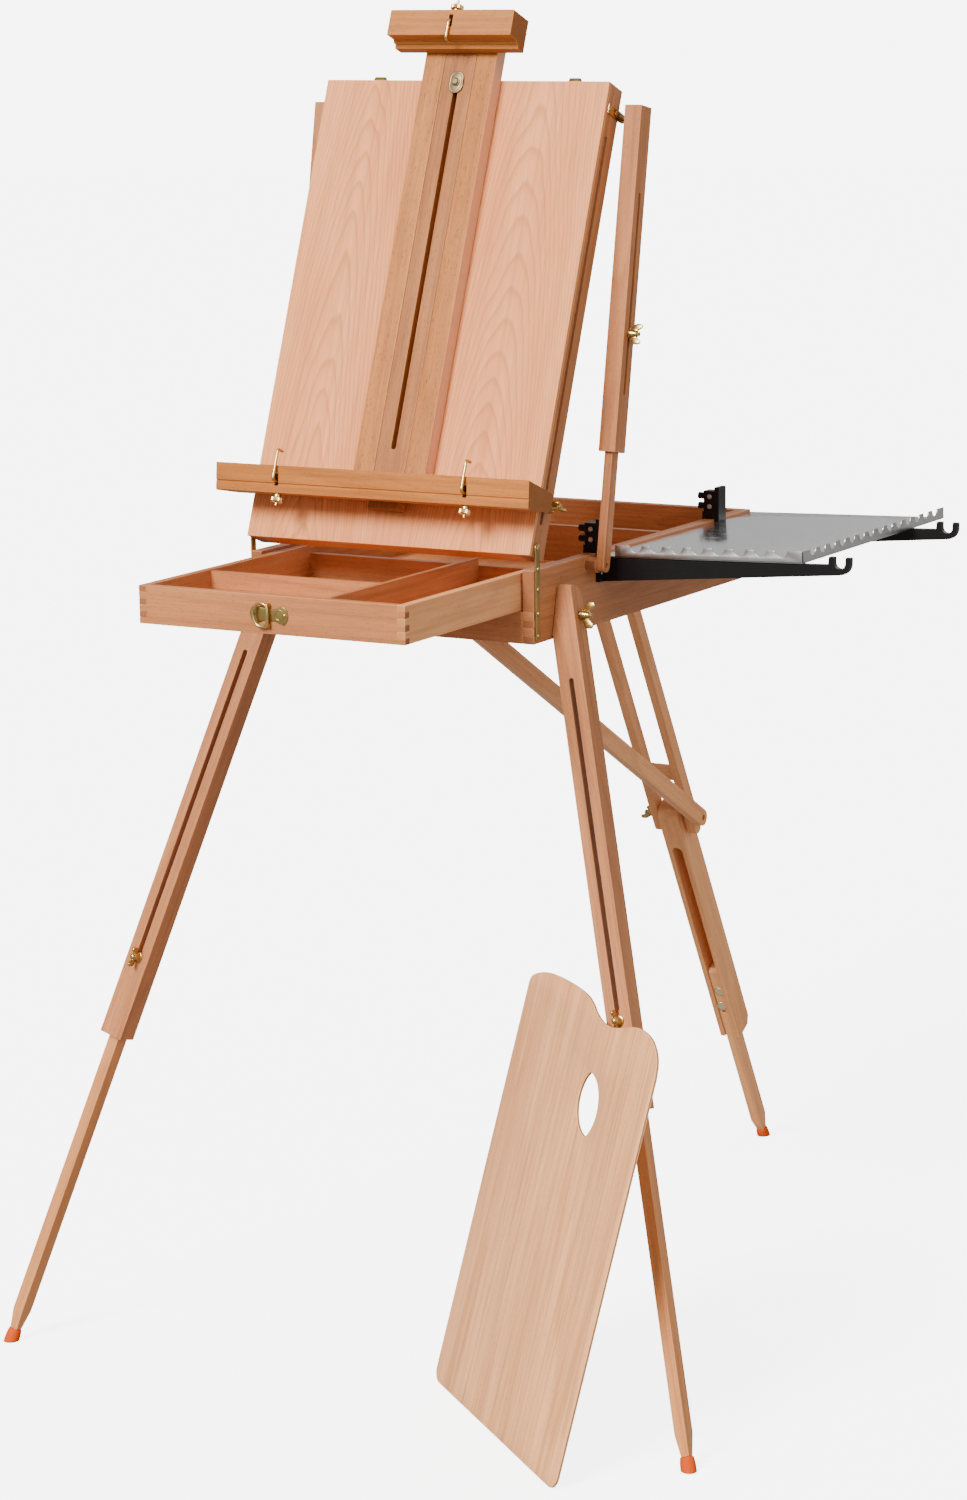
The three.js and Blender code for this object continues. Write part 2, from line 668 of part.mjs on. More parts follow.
function taperedLeg(top, taper, end, y0, y1, boltAt) {
  const side = (lo, hi, waist) => [
    [lo, -top - 4],
    [lo + 4, -top],
    [hi - 4, -top],
    [hi, -top - 4],
    [hi, -taper],
    [(lo + hi) / 2 + waist, -end],
    [(lo + hi) / 2 - waist, -end],
    [lo, -taper],
  ];
  const square = [
    [-7, -top],
    [7, -top],
    [7, -taper],
    [5, -end],
    [-5, -end],
    [-7, -taper],
  ];
  const body = common(prism('x', side(y0, y1, 5), -8, 8), prism('y', square, y0, y1));
  return cut(body, bar('y', 0, -boltAt, 2.7, y0 - 1, y1 + 1, 12));
}

// Rubber foot pushed on the leg's end, trimmed flat where it meets the floor.
function rubberFoot(centreY, start, toWorld, fromWorld) {
  const profile = [
    [0, start + 0.1],
    [7.2, start + 0.1],
    [8.2, start + 3],
    [8.9, start + 9],
    [8.9, start + 30],
    [0, start + 36],
  ].map(([r, z]) => new THREE.Vector2(r, -z));
  const cup = new THREE.LatheGeometry(profile.reverse(), 14);
  cup.rotateX(Math.PI / 2).translate(0, centreY, 0);
  cup.applyMatrix4(toWorld);
  const floor = block(-900, 900, -900, 1400, FLOOR_LEVEL - 200, FLOOR_LEVEL);
  return cut(cup, floor).applyMatrix4(fromWorld);
}

const legUpperShape = legUpper();
const legLowerShape = taperedLeg(LEG_LOWER_TOP, LEG_TAPER, LEG_BOOT, -5, 14, LEG_CLAMP);
const pivotBolt = join(
  wingBolt(164, 213.5, 3, 15).rotateX(WING_TURN),
  bar('x', 0, 0, 6, 161, 165, 6),
).translate(0, LEG_PIVOT[1], LEG_PIVOT[2]);
pair('leg_pivot_bolt', pivotBolt, BRASS);

for (const [tag, sign] of [['r', 1], ['l', -1]]) {
  const rake = frame([sign * LEG_PIVOT[0], LEG_PIVOT[1], LEG_PIVOT[2]], -LEG_RAKE);
  const down = frame([0, 0, 0], 0, -sign * LEG_SPLAY, rake);
  place(`leg_upper_${tag}`, sign > 0 ? legUpperShape : mirrorX(legUpperShape), BEECH, rake);
  place(`leg_lower_${tag}`, legLowerShape, BEECH, down);
  easel.updateMatrixWorld(true);
  const here = down.matrixWorld;
  const foot = rubberFoot(4.5, LEG_BOOT, here, here.clone().invert());
  place(`leg_foot_${tag}`, foot, RUBBER, down);
  const clamp = wingBolt(-15.5, LEG_HALF_D + GAP, 2.3, 12);
  clamp.rotateX(Math.PI / 2).rotateZ(-Math.PI / 2).translate(0, 0, -LEG_CLAMP);
  place(`leg_clamp_bolt_${tag}`, clamp, BRASS, down);
}

// ---------------------------------------------------------------- rear leg
const rear = frame([0, ...REAR_PIVOT], REAR_RAKE);

function rearFrame() {
  const end = REAR_RAIL_END;
  const rail = prism(
    'x',
    [...arc(0, -end + 8.6, 8.6, 180, 360, 8), ...arc(0, 2, 8.6, 0, 180, 8)],
    18.3,
    29.9,
  );
  const dowel = bar('x', 0, 0, 6, 13 - BOX_HALF, BOX_HALF - 13, 16);
  const stop = block(-19, 19, -8, 7, -352, -338);
  const hole = bar('x', 0, -REAR_KNEE, 3.7, 10, 40, 12);
  return cut(join(rail, mirrorX(rail), dowel, stop), hole, mirrorX(hole));
}
place('rear_leg_frame', rearFrame(), BEECH, rear);

function rearBoard() {
  const [hw, hd] = REAR_BOARD_HALF;
  const [top, end] = REAR_BOARD;
  const side = [
    ...arc(0, -top - hd, hd, 0, 180, 10),
    [-hd, -end],
    [hd - 8, -end],
    [hd, -end + 10],
  ];
  const body = prism('x', side, -hw, hw);
  const grooveFace = [
    [-7.5, -end - 5],
    [7.5, -end - 5],
    ...arc(0, -REAR_GROOVE_TOP - 7.5, 7.5, 0, 180, 8),
  ];
  const groove = prism('y', grooveFace, -hd - 1, 5);
  const knee = bar('x', 0, -REAR_KNEE, 3.7, -20, 20, 12);
  const bolt = bar('y', 0, -760, 2.7, 0, 25, 12);
  return cut(body, groove, knee, bolt);
}
place('rear_leg_board', rearBoard(), BEECH, rear);
place(
  'rear_leg_lower',
  taperedLeg(REAR_LOWER_TOP, REAR_TAPER, REAR_BOOT, -16.2, 4.6, 760),
  BEECH,
  rear,
);
easel.updateMatrixWorld(true);
place(
  'rear_leg_foot',
  rubberFoot(-5.8, REAR_BOOT, rear.matrixWorld, rear.matrixWorld.clone().invert()),
  RUBBER,
  rear,
);
const kneeBolt = mirrorX(wingBolt(-29.6, 29.9 + GAP, 3, 12)).translate(0, 0, -REAR_KNEE);
place('knee_bolt', kneeBolt, BRASS, rear);

// Brace from the front dowel to the knee of the rear leg.
const kneeY = REAR_PIVOT[0] + REAR_KNEE * Math.sin(REAR_RAKE);
const kneeZ = REAR_PIVOT[1] - REAR_KNEE * Math.cos(REAR_RAKE);
const braceLength = Math.hypot(kneeY - BRACE_PIVOT[0], kneeZ - BRACE_PIVOT[1]);
const braceDrop = Math.atan2(BRACE_PIVOT[1] - kneeZ, kneeY - BRACE_PIVOT[0]);
const braceFrame = frame([0, ...BRACE_PIVOT], -braceDrop);
const braceOutline = [
  ...arc(braceLength, 0, BRACE_HALF, -90, 90, 10),
  ...arc(0, 0, BRACE_HALF, 90, 270, 10),
];
const brace = cut(
  prism('x', braceOutline, ...BRACE_X),
  bar('x', 0, 0, 5.3, 20, 50, 12),
  bar('x', braceLength, 0, 4, 20, 50, 12),
);
place('rear_brace', brace, BEECH, braceFrame);

// ---------------------------------------------------------------- side tray
function sideArm() {
  const top = (x) => TRAY_Z - GAP - 0.2 + TRAY_TILT * (x - TRAY_X[0]);
  const pts = [
    [188, 50],
    [188, top(188)],
    [472, top(472)],
    [473, 96],
    [479, 96],
    ...arc(486, 90, 7, 180, 360, 8),
    [493, 96],
    [499, 96],
    ...arc(486, 89, 13, 0, -90, 6),
  ];
  const arm = prism('y', pts, -4, 4);
  const outer = block(BOX_HALF + GAP, 191.4, -10, 10, 50, 122);
  const bridge = block(169.1, 191.4, -10, 10, BOX_HEIGHT + 0.2, 92);
  const jaw = block(169.1, 170.7, -10, 10, 56, 92);
  const body = block(170, 186, -8, 8, 91, 117);
  const knobs = [98, 110].map((z) => bar('x', 0, z, 4.2, 160, 171, 10));
  return join(arm, outer, bridge, jaw, body, ...knobs);
}
const arm = sideArm();
place('side_arm_front', arm, STEEL_BLACK).position.set(0, ARM_Y[0], 0);
place('side_arm_rear', arm.clone(), STEEL_BLACK).position.set(0, ARM_Y[1], 0);

function scallopedRim(length, pitch) {
  // Upright strip whose top edge is cut with brush rests.
  const pts = [[0, 0], [length, 0], [length, RIM_HEIGHT]];
  const count = Math.floor((length - 8) / pitch);
  const start = (length - count * pitch) / 2;
  for (let i = count - 1; i >= 0; i--) {
    pts.push(...arc(start + (i + 0.5) * pitch, RIM_HEIGHT, 7.6, 0, -180, 6));
  }
  pts.push([0, RIM_HEIGHT]);
  return pts;
}
function sideTray() {
  const len = TRAY_X[1] - TRAY_X[0];
  const depth = TRAY_Y[1] - TRAY_Y[0];
  const n0 = ARM_Y[0] + 11 - TRAY_Y[0];
  const n1 = ARM_Y[1] - 11 - TRAY_Y[0];
  const n2 = ARM_Y[1] + 11 - TRAY_Y[0];
  const notch = 6.4;
  const plan = [
    [notch, 0],
    [len, 0],
    [len, depth],
    [0, depth],
    [0, n2],
    [notch, n2],
    [notch, n1],
    [0, n1],
    [0, n0],
    [notch, n0],
  ];
  const sheet = prism('z', plan, 0, 1.4);
  const front = prism('y', scallopedRim(len - 22, 26), 0, 1.4).translate(22, 0, 0);
  const outerRim = prism('x', scallopedRim(depth, 27), len - 1.4, len);
  return join(sheet, front, outerRim);
}
const tray = place('side_tray', sideTray(), SHEET);
tray.position.set(TRAY_X[0], TRAY_Y[0], TRAY_Z);
tray.rotation.set(0, -Math.atan(TRAY_TILT), 0);

// ---------------------------------------------------------------- palette
function palette() {
  const edge = [
    [16, 0],
    [356, 0],
    ...arc(356, 16, 16, -60, 0, 3),
    [372, 464],
    [368, 480],
    [358, 492],
    [340, 501],
    [316, 504],
    [296, 502],
    [274, 496],
    [252, 490],
    [232, 487],
    [212, 488],
    [194, 493],
    [176, 501],
    [152, 506],
    [100, 507],
    [44, 503],
    [8, 492],
    [0, 482],
    ...arc(16, 16, 16, 180, 240, 3),
  ];
  const thumb = [
    ...arc(-10, 0, 35, -58, 58, 7),
    ...arc(10, 0, 35, 122, 238, 7),
  ].map(([u, v]) => [227 + u - v * 0.36, 396 + v + u * 0.36]);
  return prism('y', edge, -PALETTE.thick, 0, [thumb]);
}
const paletteStand = new THREE.Group();
paletteStand.position.set(PALETTE.x, PALETTE.y, FLOOR_LEVEL + 0.2);
paletteStand.rotation.order = 'ZXY';
paletteStand.rotation.set(
  -THREE.MathUtils.degToRad(PALETTE.lean),
  0,
  THREE.MathUtils.degToRad(PALETTE.turn),
);
easel.add(paletteStand);
place('palette', palette(), PALE_PLY, paletteStand);

// ---------------------------------------------------------------- origin
const root = new THREE.Group();
root.name = 'artist_easel';
root.add(easel);
root.updateMatrixWorld(true);
const bounds = new THREE.Box3().setFromObject(root, true);
easel.position.set(
  -(bounds.min.x + bounds.max.x) / 2,
  -(bounds.min.y + bounds.max.y) / 2,
  -bounds.min.z,
);
root.updateMatrixWorld(true);

export default root;
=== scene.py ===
"""Looks for the folding box easel: detailed metalwork, tray and palette, and wood for the CAD nodes."""

import math

import bmesh
import bpy
from mathutils import Matrix, Vector


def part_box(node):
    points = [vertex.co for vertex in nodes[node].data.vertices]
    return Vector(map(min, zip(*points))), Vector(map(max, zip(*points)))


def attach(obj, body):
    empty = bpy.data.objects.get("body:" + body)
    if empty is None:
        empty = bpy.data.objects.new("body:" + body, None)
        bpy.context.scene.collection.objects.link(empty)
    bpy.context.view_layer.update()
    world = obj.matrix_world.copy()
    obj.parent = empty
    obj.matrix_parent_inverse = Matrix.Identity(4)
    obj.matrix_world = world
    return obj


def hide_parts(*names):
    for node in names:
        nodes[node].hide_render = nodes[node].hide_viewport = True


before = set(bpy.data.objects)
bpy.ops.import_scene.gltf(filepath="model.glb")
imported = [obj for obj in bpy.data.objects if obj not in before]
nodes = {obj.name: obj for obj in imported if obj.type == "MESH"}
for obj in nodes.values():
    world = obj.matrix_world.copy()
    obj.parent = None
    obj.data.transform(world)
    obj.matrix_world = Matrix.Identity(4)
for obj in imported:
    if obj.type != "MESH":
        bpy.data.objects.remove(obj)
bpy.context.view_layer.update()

# ---------------------------------------------------------------- frames, drawn in millimetres
MM = Matrix.Scale(0.001, 4)
back_low, back_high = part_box("box_back_panel")
BOX_DEPTH = 0.560
ORIGIN = Vector(((back_low.x + back_high.x) / 2, back_high.y - BOX_DEPTH, back_low.z))


def turned(x, y, z, *turns):
    """Matrix from a local frame in millimetres to the row frame; turns are (degrees, axis)."""
    m = Matrix.Translation(ORIGIN + Vector((x, y, z)) * 0.001)
    for degrees, axis in turns:
        m = m @ Matrix.Rotation(math.radians(degrees), 4, axis)
    return m @ MM


# Angles are in degrees. Places are measured from the middle of the box's lower front edge.
LEG_RAKE, LEG_SPLAY, REAR_RAKE, LID_ANGLE, STAY_LEAN = 14.04, 15.69, 28.92, 68.66, 10.5
PALETTE_TURN, PALETTE_LEAN = -39.73, -14.99
LID_PIN_Y, LID_PIN_Z = 7.3, 107.3
LEG_PIVOT_X, LEG_PIVOT_Y, LEG_PIVOT_Z = 194.6, 60.8, 27
FLOOR_LEVEL = -869.7
SIDES = (("r", 1), ("l", -1))
BOX = turned(0, 0, 0)
LID = turned(0, LID_PIN_Y, LID_PIN_Z, (LID_ANGLE, "X"))
DRAWER = turned(0, -252.5, 37.3)
REAR = turned(0, 517.2, 15, (REAR_RAKE, "X"))
STAY = turned(0, 129, 73, (-STAY_LEAN, "X"))
LEG = {
    s: turned(k * LEG_PIVOT_X, LEG_PIVOT_Y, LEG_PIVOT_Z, (-LEG_RAKE, "X"), (-k * LEG_SPLAY, "Y"))
    for s, k in SIDES
}
PALETTE = turned(67.4, -39.6, FLOOR_LEVEL + 0.2, (PALETTE_TURN, "Z"), (PALETTE_LEAN, "X"))
# Heights along the legs and the lid where their bolts pass.
KNEE_HEIGHT, CLAMP_HEIGHT, STAY_BOLT_HEIGHT, LEDGE_BOLT_HEIGHT = -419.3, -462, 262, 49


def direction(matrix, axis):
    return (matrix.to_3x3() @ Vector(axis)).normalized()


# ---------------------------------------------------------------- mesh building
def arc(cx, cy, r, start, end, steps):
    pts = []
    for i in range(steps + 1):
        a = math.radians(start + (end - start) * i / steps)
        pts.append((cx + r * math.cos(a), cy + r * math.sin(a)))
    return pts


def between(p, q, start, end, u):
    """The point at u on the line that is at p when u is start and at q when u is end."""
    return p * ((end - u) / (end - start)) + q * ((u - start) / (end - start))


def smooth_loop(points, steps):
    """Closed centripetal curve through the points."""
    out = []
    n = len(points)
    for i in range(n):
        p = [Vector(points[(i + k - 1) % n]) for k in range(4)]
        t = [0.0]
        for k in range(3):
            t.append(t[-1] + max((p[k + 1] - p[k]).length, 1e-6) ** 0.5)
        for s in range(steps):
            u = t[1] + (t[2] - t[1]) * s / steps
            a = [between(p[k], p[k + 1], t[k], t[k + 1], u) for k in range(3)]
            b = [between(a[k], a[k + 1], t[k], t[k + 2], u) for k in range(2)]
            out.append(tuple(between(b[0], b[1], t[1], t[2], u)))
    return out


def filleted(points, radius, steps):
    """Open 3-D path whose corners are rounded."""
    pts = [Vector(p) for p in points]
    out = [pts[0]]
    for before, here, after in zip(pts, pts[1:], pts[2:]):
        a = (before - here).normalized()
        b = (after - here).normalized()
        r = min(radius, (before - here).length * 0.48, (after - here).length * 0.48)
        for i in range(steps + 1):
            t = i / steps
            out.append((here + a * r) * (1 - t) ** 2 + here * 2 * t * (1 - t) + (here + b * r) * t * t)
    return out + [pts[-1]]


TURN = {
    "x": Matrix(((0, 0, 1), (1, 0, 0), (0, 1, 0))),
    "y": Matrix(((1, 0, 0), (0, 0, 1), (0, 1, 0))),
    "z": Matrix.Identity(3),
}
SCREW_TURN = 0.6
SHARP_ANGLE = 38


class Shape:
    """Collects solids in one local frame, in millimetres."""

    def __init__(self):
        self.verts = []
        self.faces = []

    def put(self, verts, faces, matrix=None):
        base = len(self.verts)
        self.verts += [matrix @ Vector(v) if matrix else Vector(v) for v in verts]
        self.faces += [[base + i for i in f] for f in faces]
        return self

    def lathe(self, axis, centre, profile, sides=24, knurl=0.0):
        """Turned solid; profile is (radius, height) pairs along the axis from its centre point."""
        rings = []
        verts = []
        for r, h in profile:
            ring = []
            for i in range(sides):
                a = 2 * math.pi * i / sides
                rr = max(r - (knurl if i % 2 else 0.0), 0.01) if r > 0 else 0.01
                ring.append(len(verts))
                verts.append((rr * math.cos(a), rr * math.sin(a), h))
            rings.append(ring)
        faces = []
        for a, b in zip(rings, rings[1:]):
            faces += [(a[i], a[(i + 1) % sides], b[(i + 1) % sides], b[i]) for i in range(sides)]
        faces += [rings[0][::-1], rings[-1]]
        place = Matrix.Translation(Vector(centre)) @ TURN[axis].to_4x4()
        return self.put(verts, faces, place)

    def tube(self, path, radius, sides):
        """Round wire along a path, with flat ends."""
        pts = [Vector(p) for p in path]
        verts, rings = [], []
        side = None
        for i, p in enumerate(pts):
            along = (pts[min(i + 1, len(pts) - 1)] - pts[max(i - 1, 0)]).normalized()
            if side is None:
                side = along.orthogonal().normalized()
            side = (side - along * side.dot(along)).normalized()
            up = along.cross(side)
            ring = []
            for k in range(sides):
                a = 2 * math.pi * k / sides
                ring.append(len(verts))
                verts.append(p + (side * math.cos(a) + up * math.sin(a)) * radius)
            rings.append(ring)
        faces = []
        for a, b in zip(rings, rings[1:]):
            faces += [(a[k], a[(k + 1) % sides], b[(k + 1) % sides], b[k]) for k in range(sides)]
        faces += [rings[0][::-1], rings[-1]]
        return self.put(verts, faces)

    def plate(self, axis, loops, lo, hi, bevel=0.3):
        """Flat plate with rounded edges; the first loop is its outline, the rest are holes."""
        curve = bpy.data.curves.new("plate", "CURVE")
        curve.dimensions = "2D"
        curve.fill_mode = "BOTH"
        curve.extrude = (hi - lo) / 2 - bevel
        curve.bevel_depth = bevel
        curve.bevel_resolution = 1
        curve.offset = -bevel
        for loop in loops:
            spline = curve.splines.new("POLY")
            spline.points.add(len(loop) - 1)
            for point, (u, v) in zip(spline.points, loop):
                point.co = (u, v, 0, 1)
            spline.use_cyclic_u = True
        holder = bpy.data.objects.new("plate", curve)
        bpy.context.collection.objects.link(holder)
        graph = bpy.context.evaluated_depsgraph_get()
        mesh = bpy.data.meshes.new_from_object(holder.evaluated_get(graph))
        verts = [(v.co.x, v.co.y, v.co.z + (lo + hi) / 2) for v in mesh.vertices]
        faces = [tuple(p.vertices) for p in mesh.polygons]
        bpy.data.objects.remove(holder)
        bpy.data.curves.remove(curve)
        bpy.data.meshes.remove(mesh)
        return self.put(verts, faces, TURN[axis].to_4x4())

    def screw(self, axis, centre, r, outward=1, height=1.2):
        """Domed screw head with a bar across its top, standing out along the axis."""
        h = height * outward
        rise = [(r, -0.6 * outward), (r, 0.2 * outward), (r * 0.9, h * 0.6), (r * 0.6, h * 0.9)]
        self.lathe(axis, centre, rise + [(r * 0.05, h)], 20)
        place = Matrix.Translation(Vector(centre)) @ TURN[axis].to_4x4() @ Matrix.Rotation(SCREW_TURN, 4, "Z")
        half_width, half_length = 0.35, r * 0.72
        corners = [(-half_length, -half_width), (half_length, -half_width)]
        corners += [(half_length, half_width), (-half_length, half_width)]
        verts = [(x, y, z) for z in (h * 0.9, h * 1.06) for x, y in corners]
        faces = [(0, 3, 2, 1), (4, 5, 6, 7), (0, 1, 5, 4), (1, 2, 6, 5), (2, 3, 7, 6), (3, 0, 4, 7)]
        return self.put(verts, faces, place)

    def build(self, name, matrix, body, slot, material, *replaced, cut_floor=False):
        """Makes the object, which rides the body and takes the place of the replaced nodes."""
        mesh = bpy.data.meshes.new(name)
        flip = matrix.determinant() < 0
        faces = [f[::-1] for f in self.faces] if flip else self.faces
        mesh.from_pydata([matrix @ v for v in self.verts], [], faces)
        work = bmesh.new()
        work.from_mesh(mesh)
        bmesh.ops.remove_doubles(work, verts=work.verts, dist=1e-6)
        if cut_floor:
            parts = list(work.verts) + list(work.edges) + list(work.faces)
            cutting = bmesh.ops.bisect_plane(
                work, geom=parts, plane_co=(0, 0, 0), plane_no=(0, 0, -1), clear_outer=True
            )
            rim = [e for e in cutting["geom_cut"] if isinstance(e, bmesh.types.BMEdge)]
            bmesh.ops.holes_fill(work, edges=rim)
        bmesh.ops.recalc_face_normals(work, faces=work.faces)
        work.to_mesh(mesh)
        work.free()
        mesh.shade_smooth()
        mesh.set_sharp_from_angle(angle=math.radians(SHARP_ANGLE))
        piece = bpy.data.objects.new(name, mesh)
        bpy.context.collection.objects.link(piece)
        piece.data.materials.append(material)
        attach(piece, body)
        if replaced:
            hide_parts(*replaced)
        return piece


MIRROR = Matrix.Scale(-1, 4, Vector((1, 0, 0)))
HANDED = {"r": Matrix.Identity(4), "l": MIRROR}


# ---------------------------------------------------------------- material building
class Nodes:
    """Small helper that adds linked shader nodes."""

    def __init__(self, name):
        self.material = bpy.data.materials.new(name)
        self.material.use_nodes = True
        self.tree = self.material.node_tree
        self.shader = self.tree.nodes["Principled BSDF"]

    def add(self, kind, inputs=None, **settings):
        node = self.tree.nodes.new(kind)
        for key, value in settings.items():
            setattr(node, key, value)
        for key, value in (inputs or {}).items():
            self.feed(node.inputs[key], value)
        return node

    def feed(self, socket, value):
        if isinstance(value, bpy.types.NodeSocket):
            self.tree.links.new(value, socket)
        else:
            socket.default_value = value

    def math(self, operation, a, b=0.0):
        return self.add("ShaderNodeMath", {0: a, 1: b}, operation=operation).outputs[0]

    def dot(self, vector, axis):
        node = self.add("ShaderNodeVectorMath", {0: vector, 1: axis}, operation="DOT_PRODUCT")
        return node.outputs["Value"]

    def shifted(self, vector, offset):
        return self.add("ShaderNodeVectorMath", {0: vector, 1: offset}, operation="ADD").outputs[0]

    def scaled(self, vector, factor):
        return self.add("ShaderNodeVectorMath", {0: vector, "Scale": factor}, operation="SCALE").outputs[0]

    def combine(self, x, y, z):
        return self.add("ShaderNodeCombineXYZ", {0: x, 1: y, 2: z}).outputs[0]

    def noise(self, vector, detail, rough, distortion=0.0):
        settings = {"Vector": vector, "Scale": 1.0, "Detail": detail}
        settings.update({"Roughness": rough, "Distortion": distortion})
        return self.add("ShaderNodeTexNoise", settings).outputs["Fac"]

    def ramp(self, fac, stops):
        node = self.add("ShaderNodeValToRGB", {"Fac": fac})
        elements = node.color_ramp.elements
        while len(elements) < len(stops):
            elements.new(0.5)
        for element, (position, color) in zip(elements, stops):
            element.position = position
            element.color = (*color, 1) if len(color) == 3 else (color[0],) * 3 + (1,)
        return node.outputs["Color"]

    def mix(self, fac, a, b, blend="MIX"):
        node = self.add("ShaderNodeMix", data_type="RGBA", blend_type=blend)
        self.feed(node.inputs["Factor"], fac)
        self.feed(node.inputs[6], a if isinstance(a, bpy.types.NodeSocket) else (*a, 1))
        self.feed(node.inputs[7], b if isinstance(b, bpy.types.NodeSocket) else (*b, 1))
        return node.outputs[2]

    def mix_value(self, fac, a, b):
        node = self.add("ShaderNodeMix", data_type="FLOAT")
        for socket, value in ((0, fac), (2, a), (3, b)):
            self.feed(node.inputs[socket], value)
        return node.outputs[0]

    def bump(self, height, strength, distance):
        node = self.add("ShaderNodeBump", {"Height": height, "Strength": strength, "Distance": distance})
        self.feed(self.shader.inputs["Normal"], node.outputs["Normal"])

    def set(self, **values):
        """Links or sets shader sockets; an underscore stands for a space."""
        for key, value in values.items():
            self.feed(self.shader.inputs[key.replace("_", " ")], value)


def grain_axes(grain, face):
    """Unit vectors along the grain, across it in the face, and through the thickness."""
    g = Vector(grain).normalized()
    t = (Vector(face) - g * g.dot(Vector(face))).normalized()
    return g, t.cross(g), t


# Each wood has a light, a middle and a dark tone.
BEECH = ((0.50, 0.192, 0.070), (0.41, 0.146, 0.048), (0.20, 0.060, 0.019))
BEECH_GOLD = ((0.50, 0.175, 0.034), (0.40, 0.130, 0.020), (0.17, 0.047, 0.007))
BEECH_DARK = ((0.40, 0.140, 0.034), (0.31, 0.100, 0.022), (0.14, 0.040, 0.008))
BEECH_MID = ((0.64, 0.262, 0.090), (0.54, 0.205, 0.064), (0.30, 0.095, 0.026))
# Painted light: a lighter copy of beech for parts that stand in shade, the rear leg, its brace and the
# drawer's right side.
BEECH_LIT = ((0.82, 0.370, 0.150), (0.70, 0.290, 0.105), (0.42, 0.145, 0.045))
ROSE_PLY = ((0.84, 0.325, 0.115), (0.73, 0.255, 0.082), (0.40, 0.118, 0.030))
BIRCH = ((0.88, 0.42, 0.185), (0.77, 0.34, 0.14), (0.42, 0.165, 0.062))


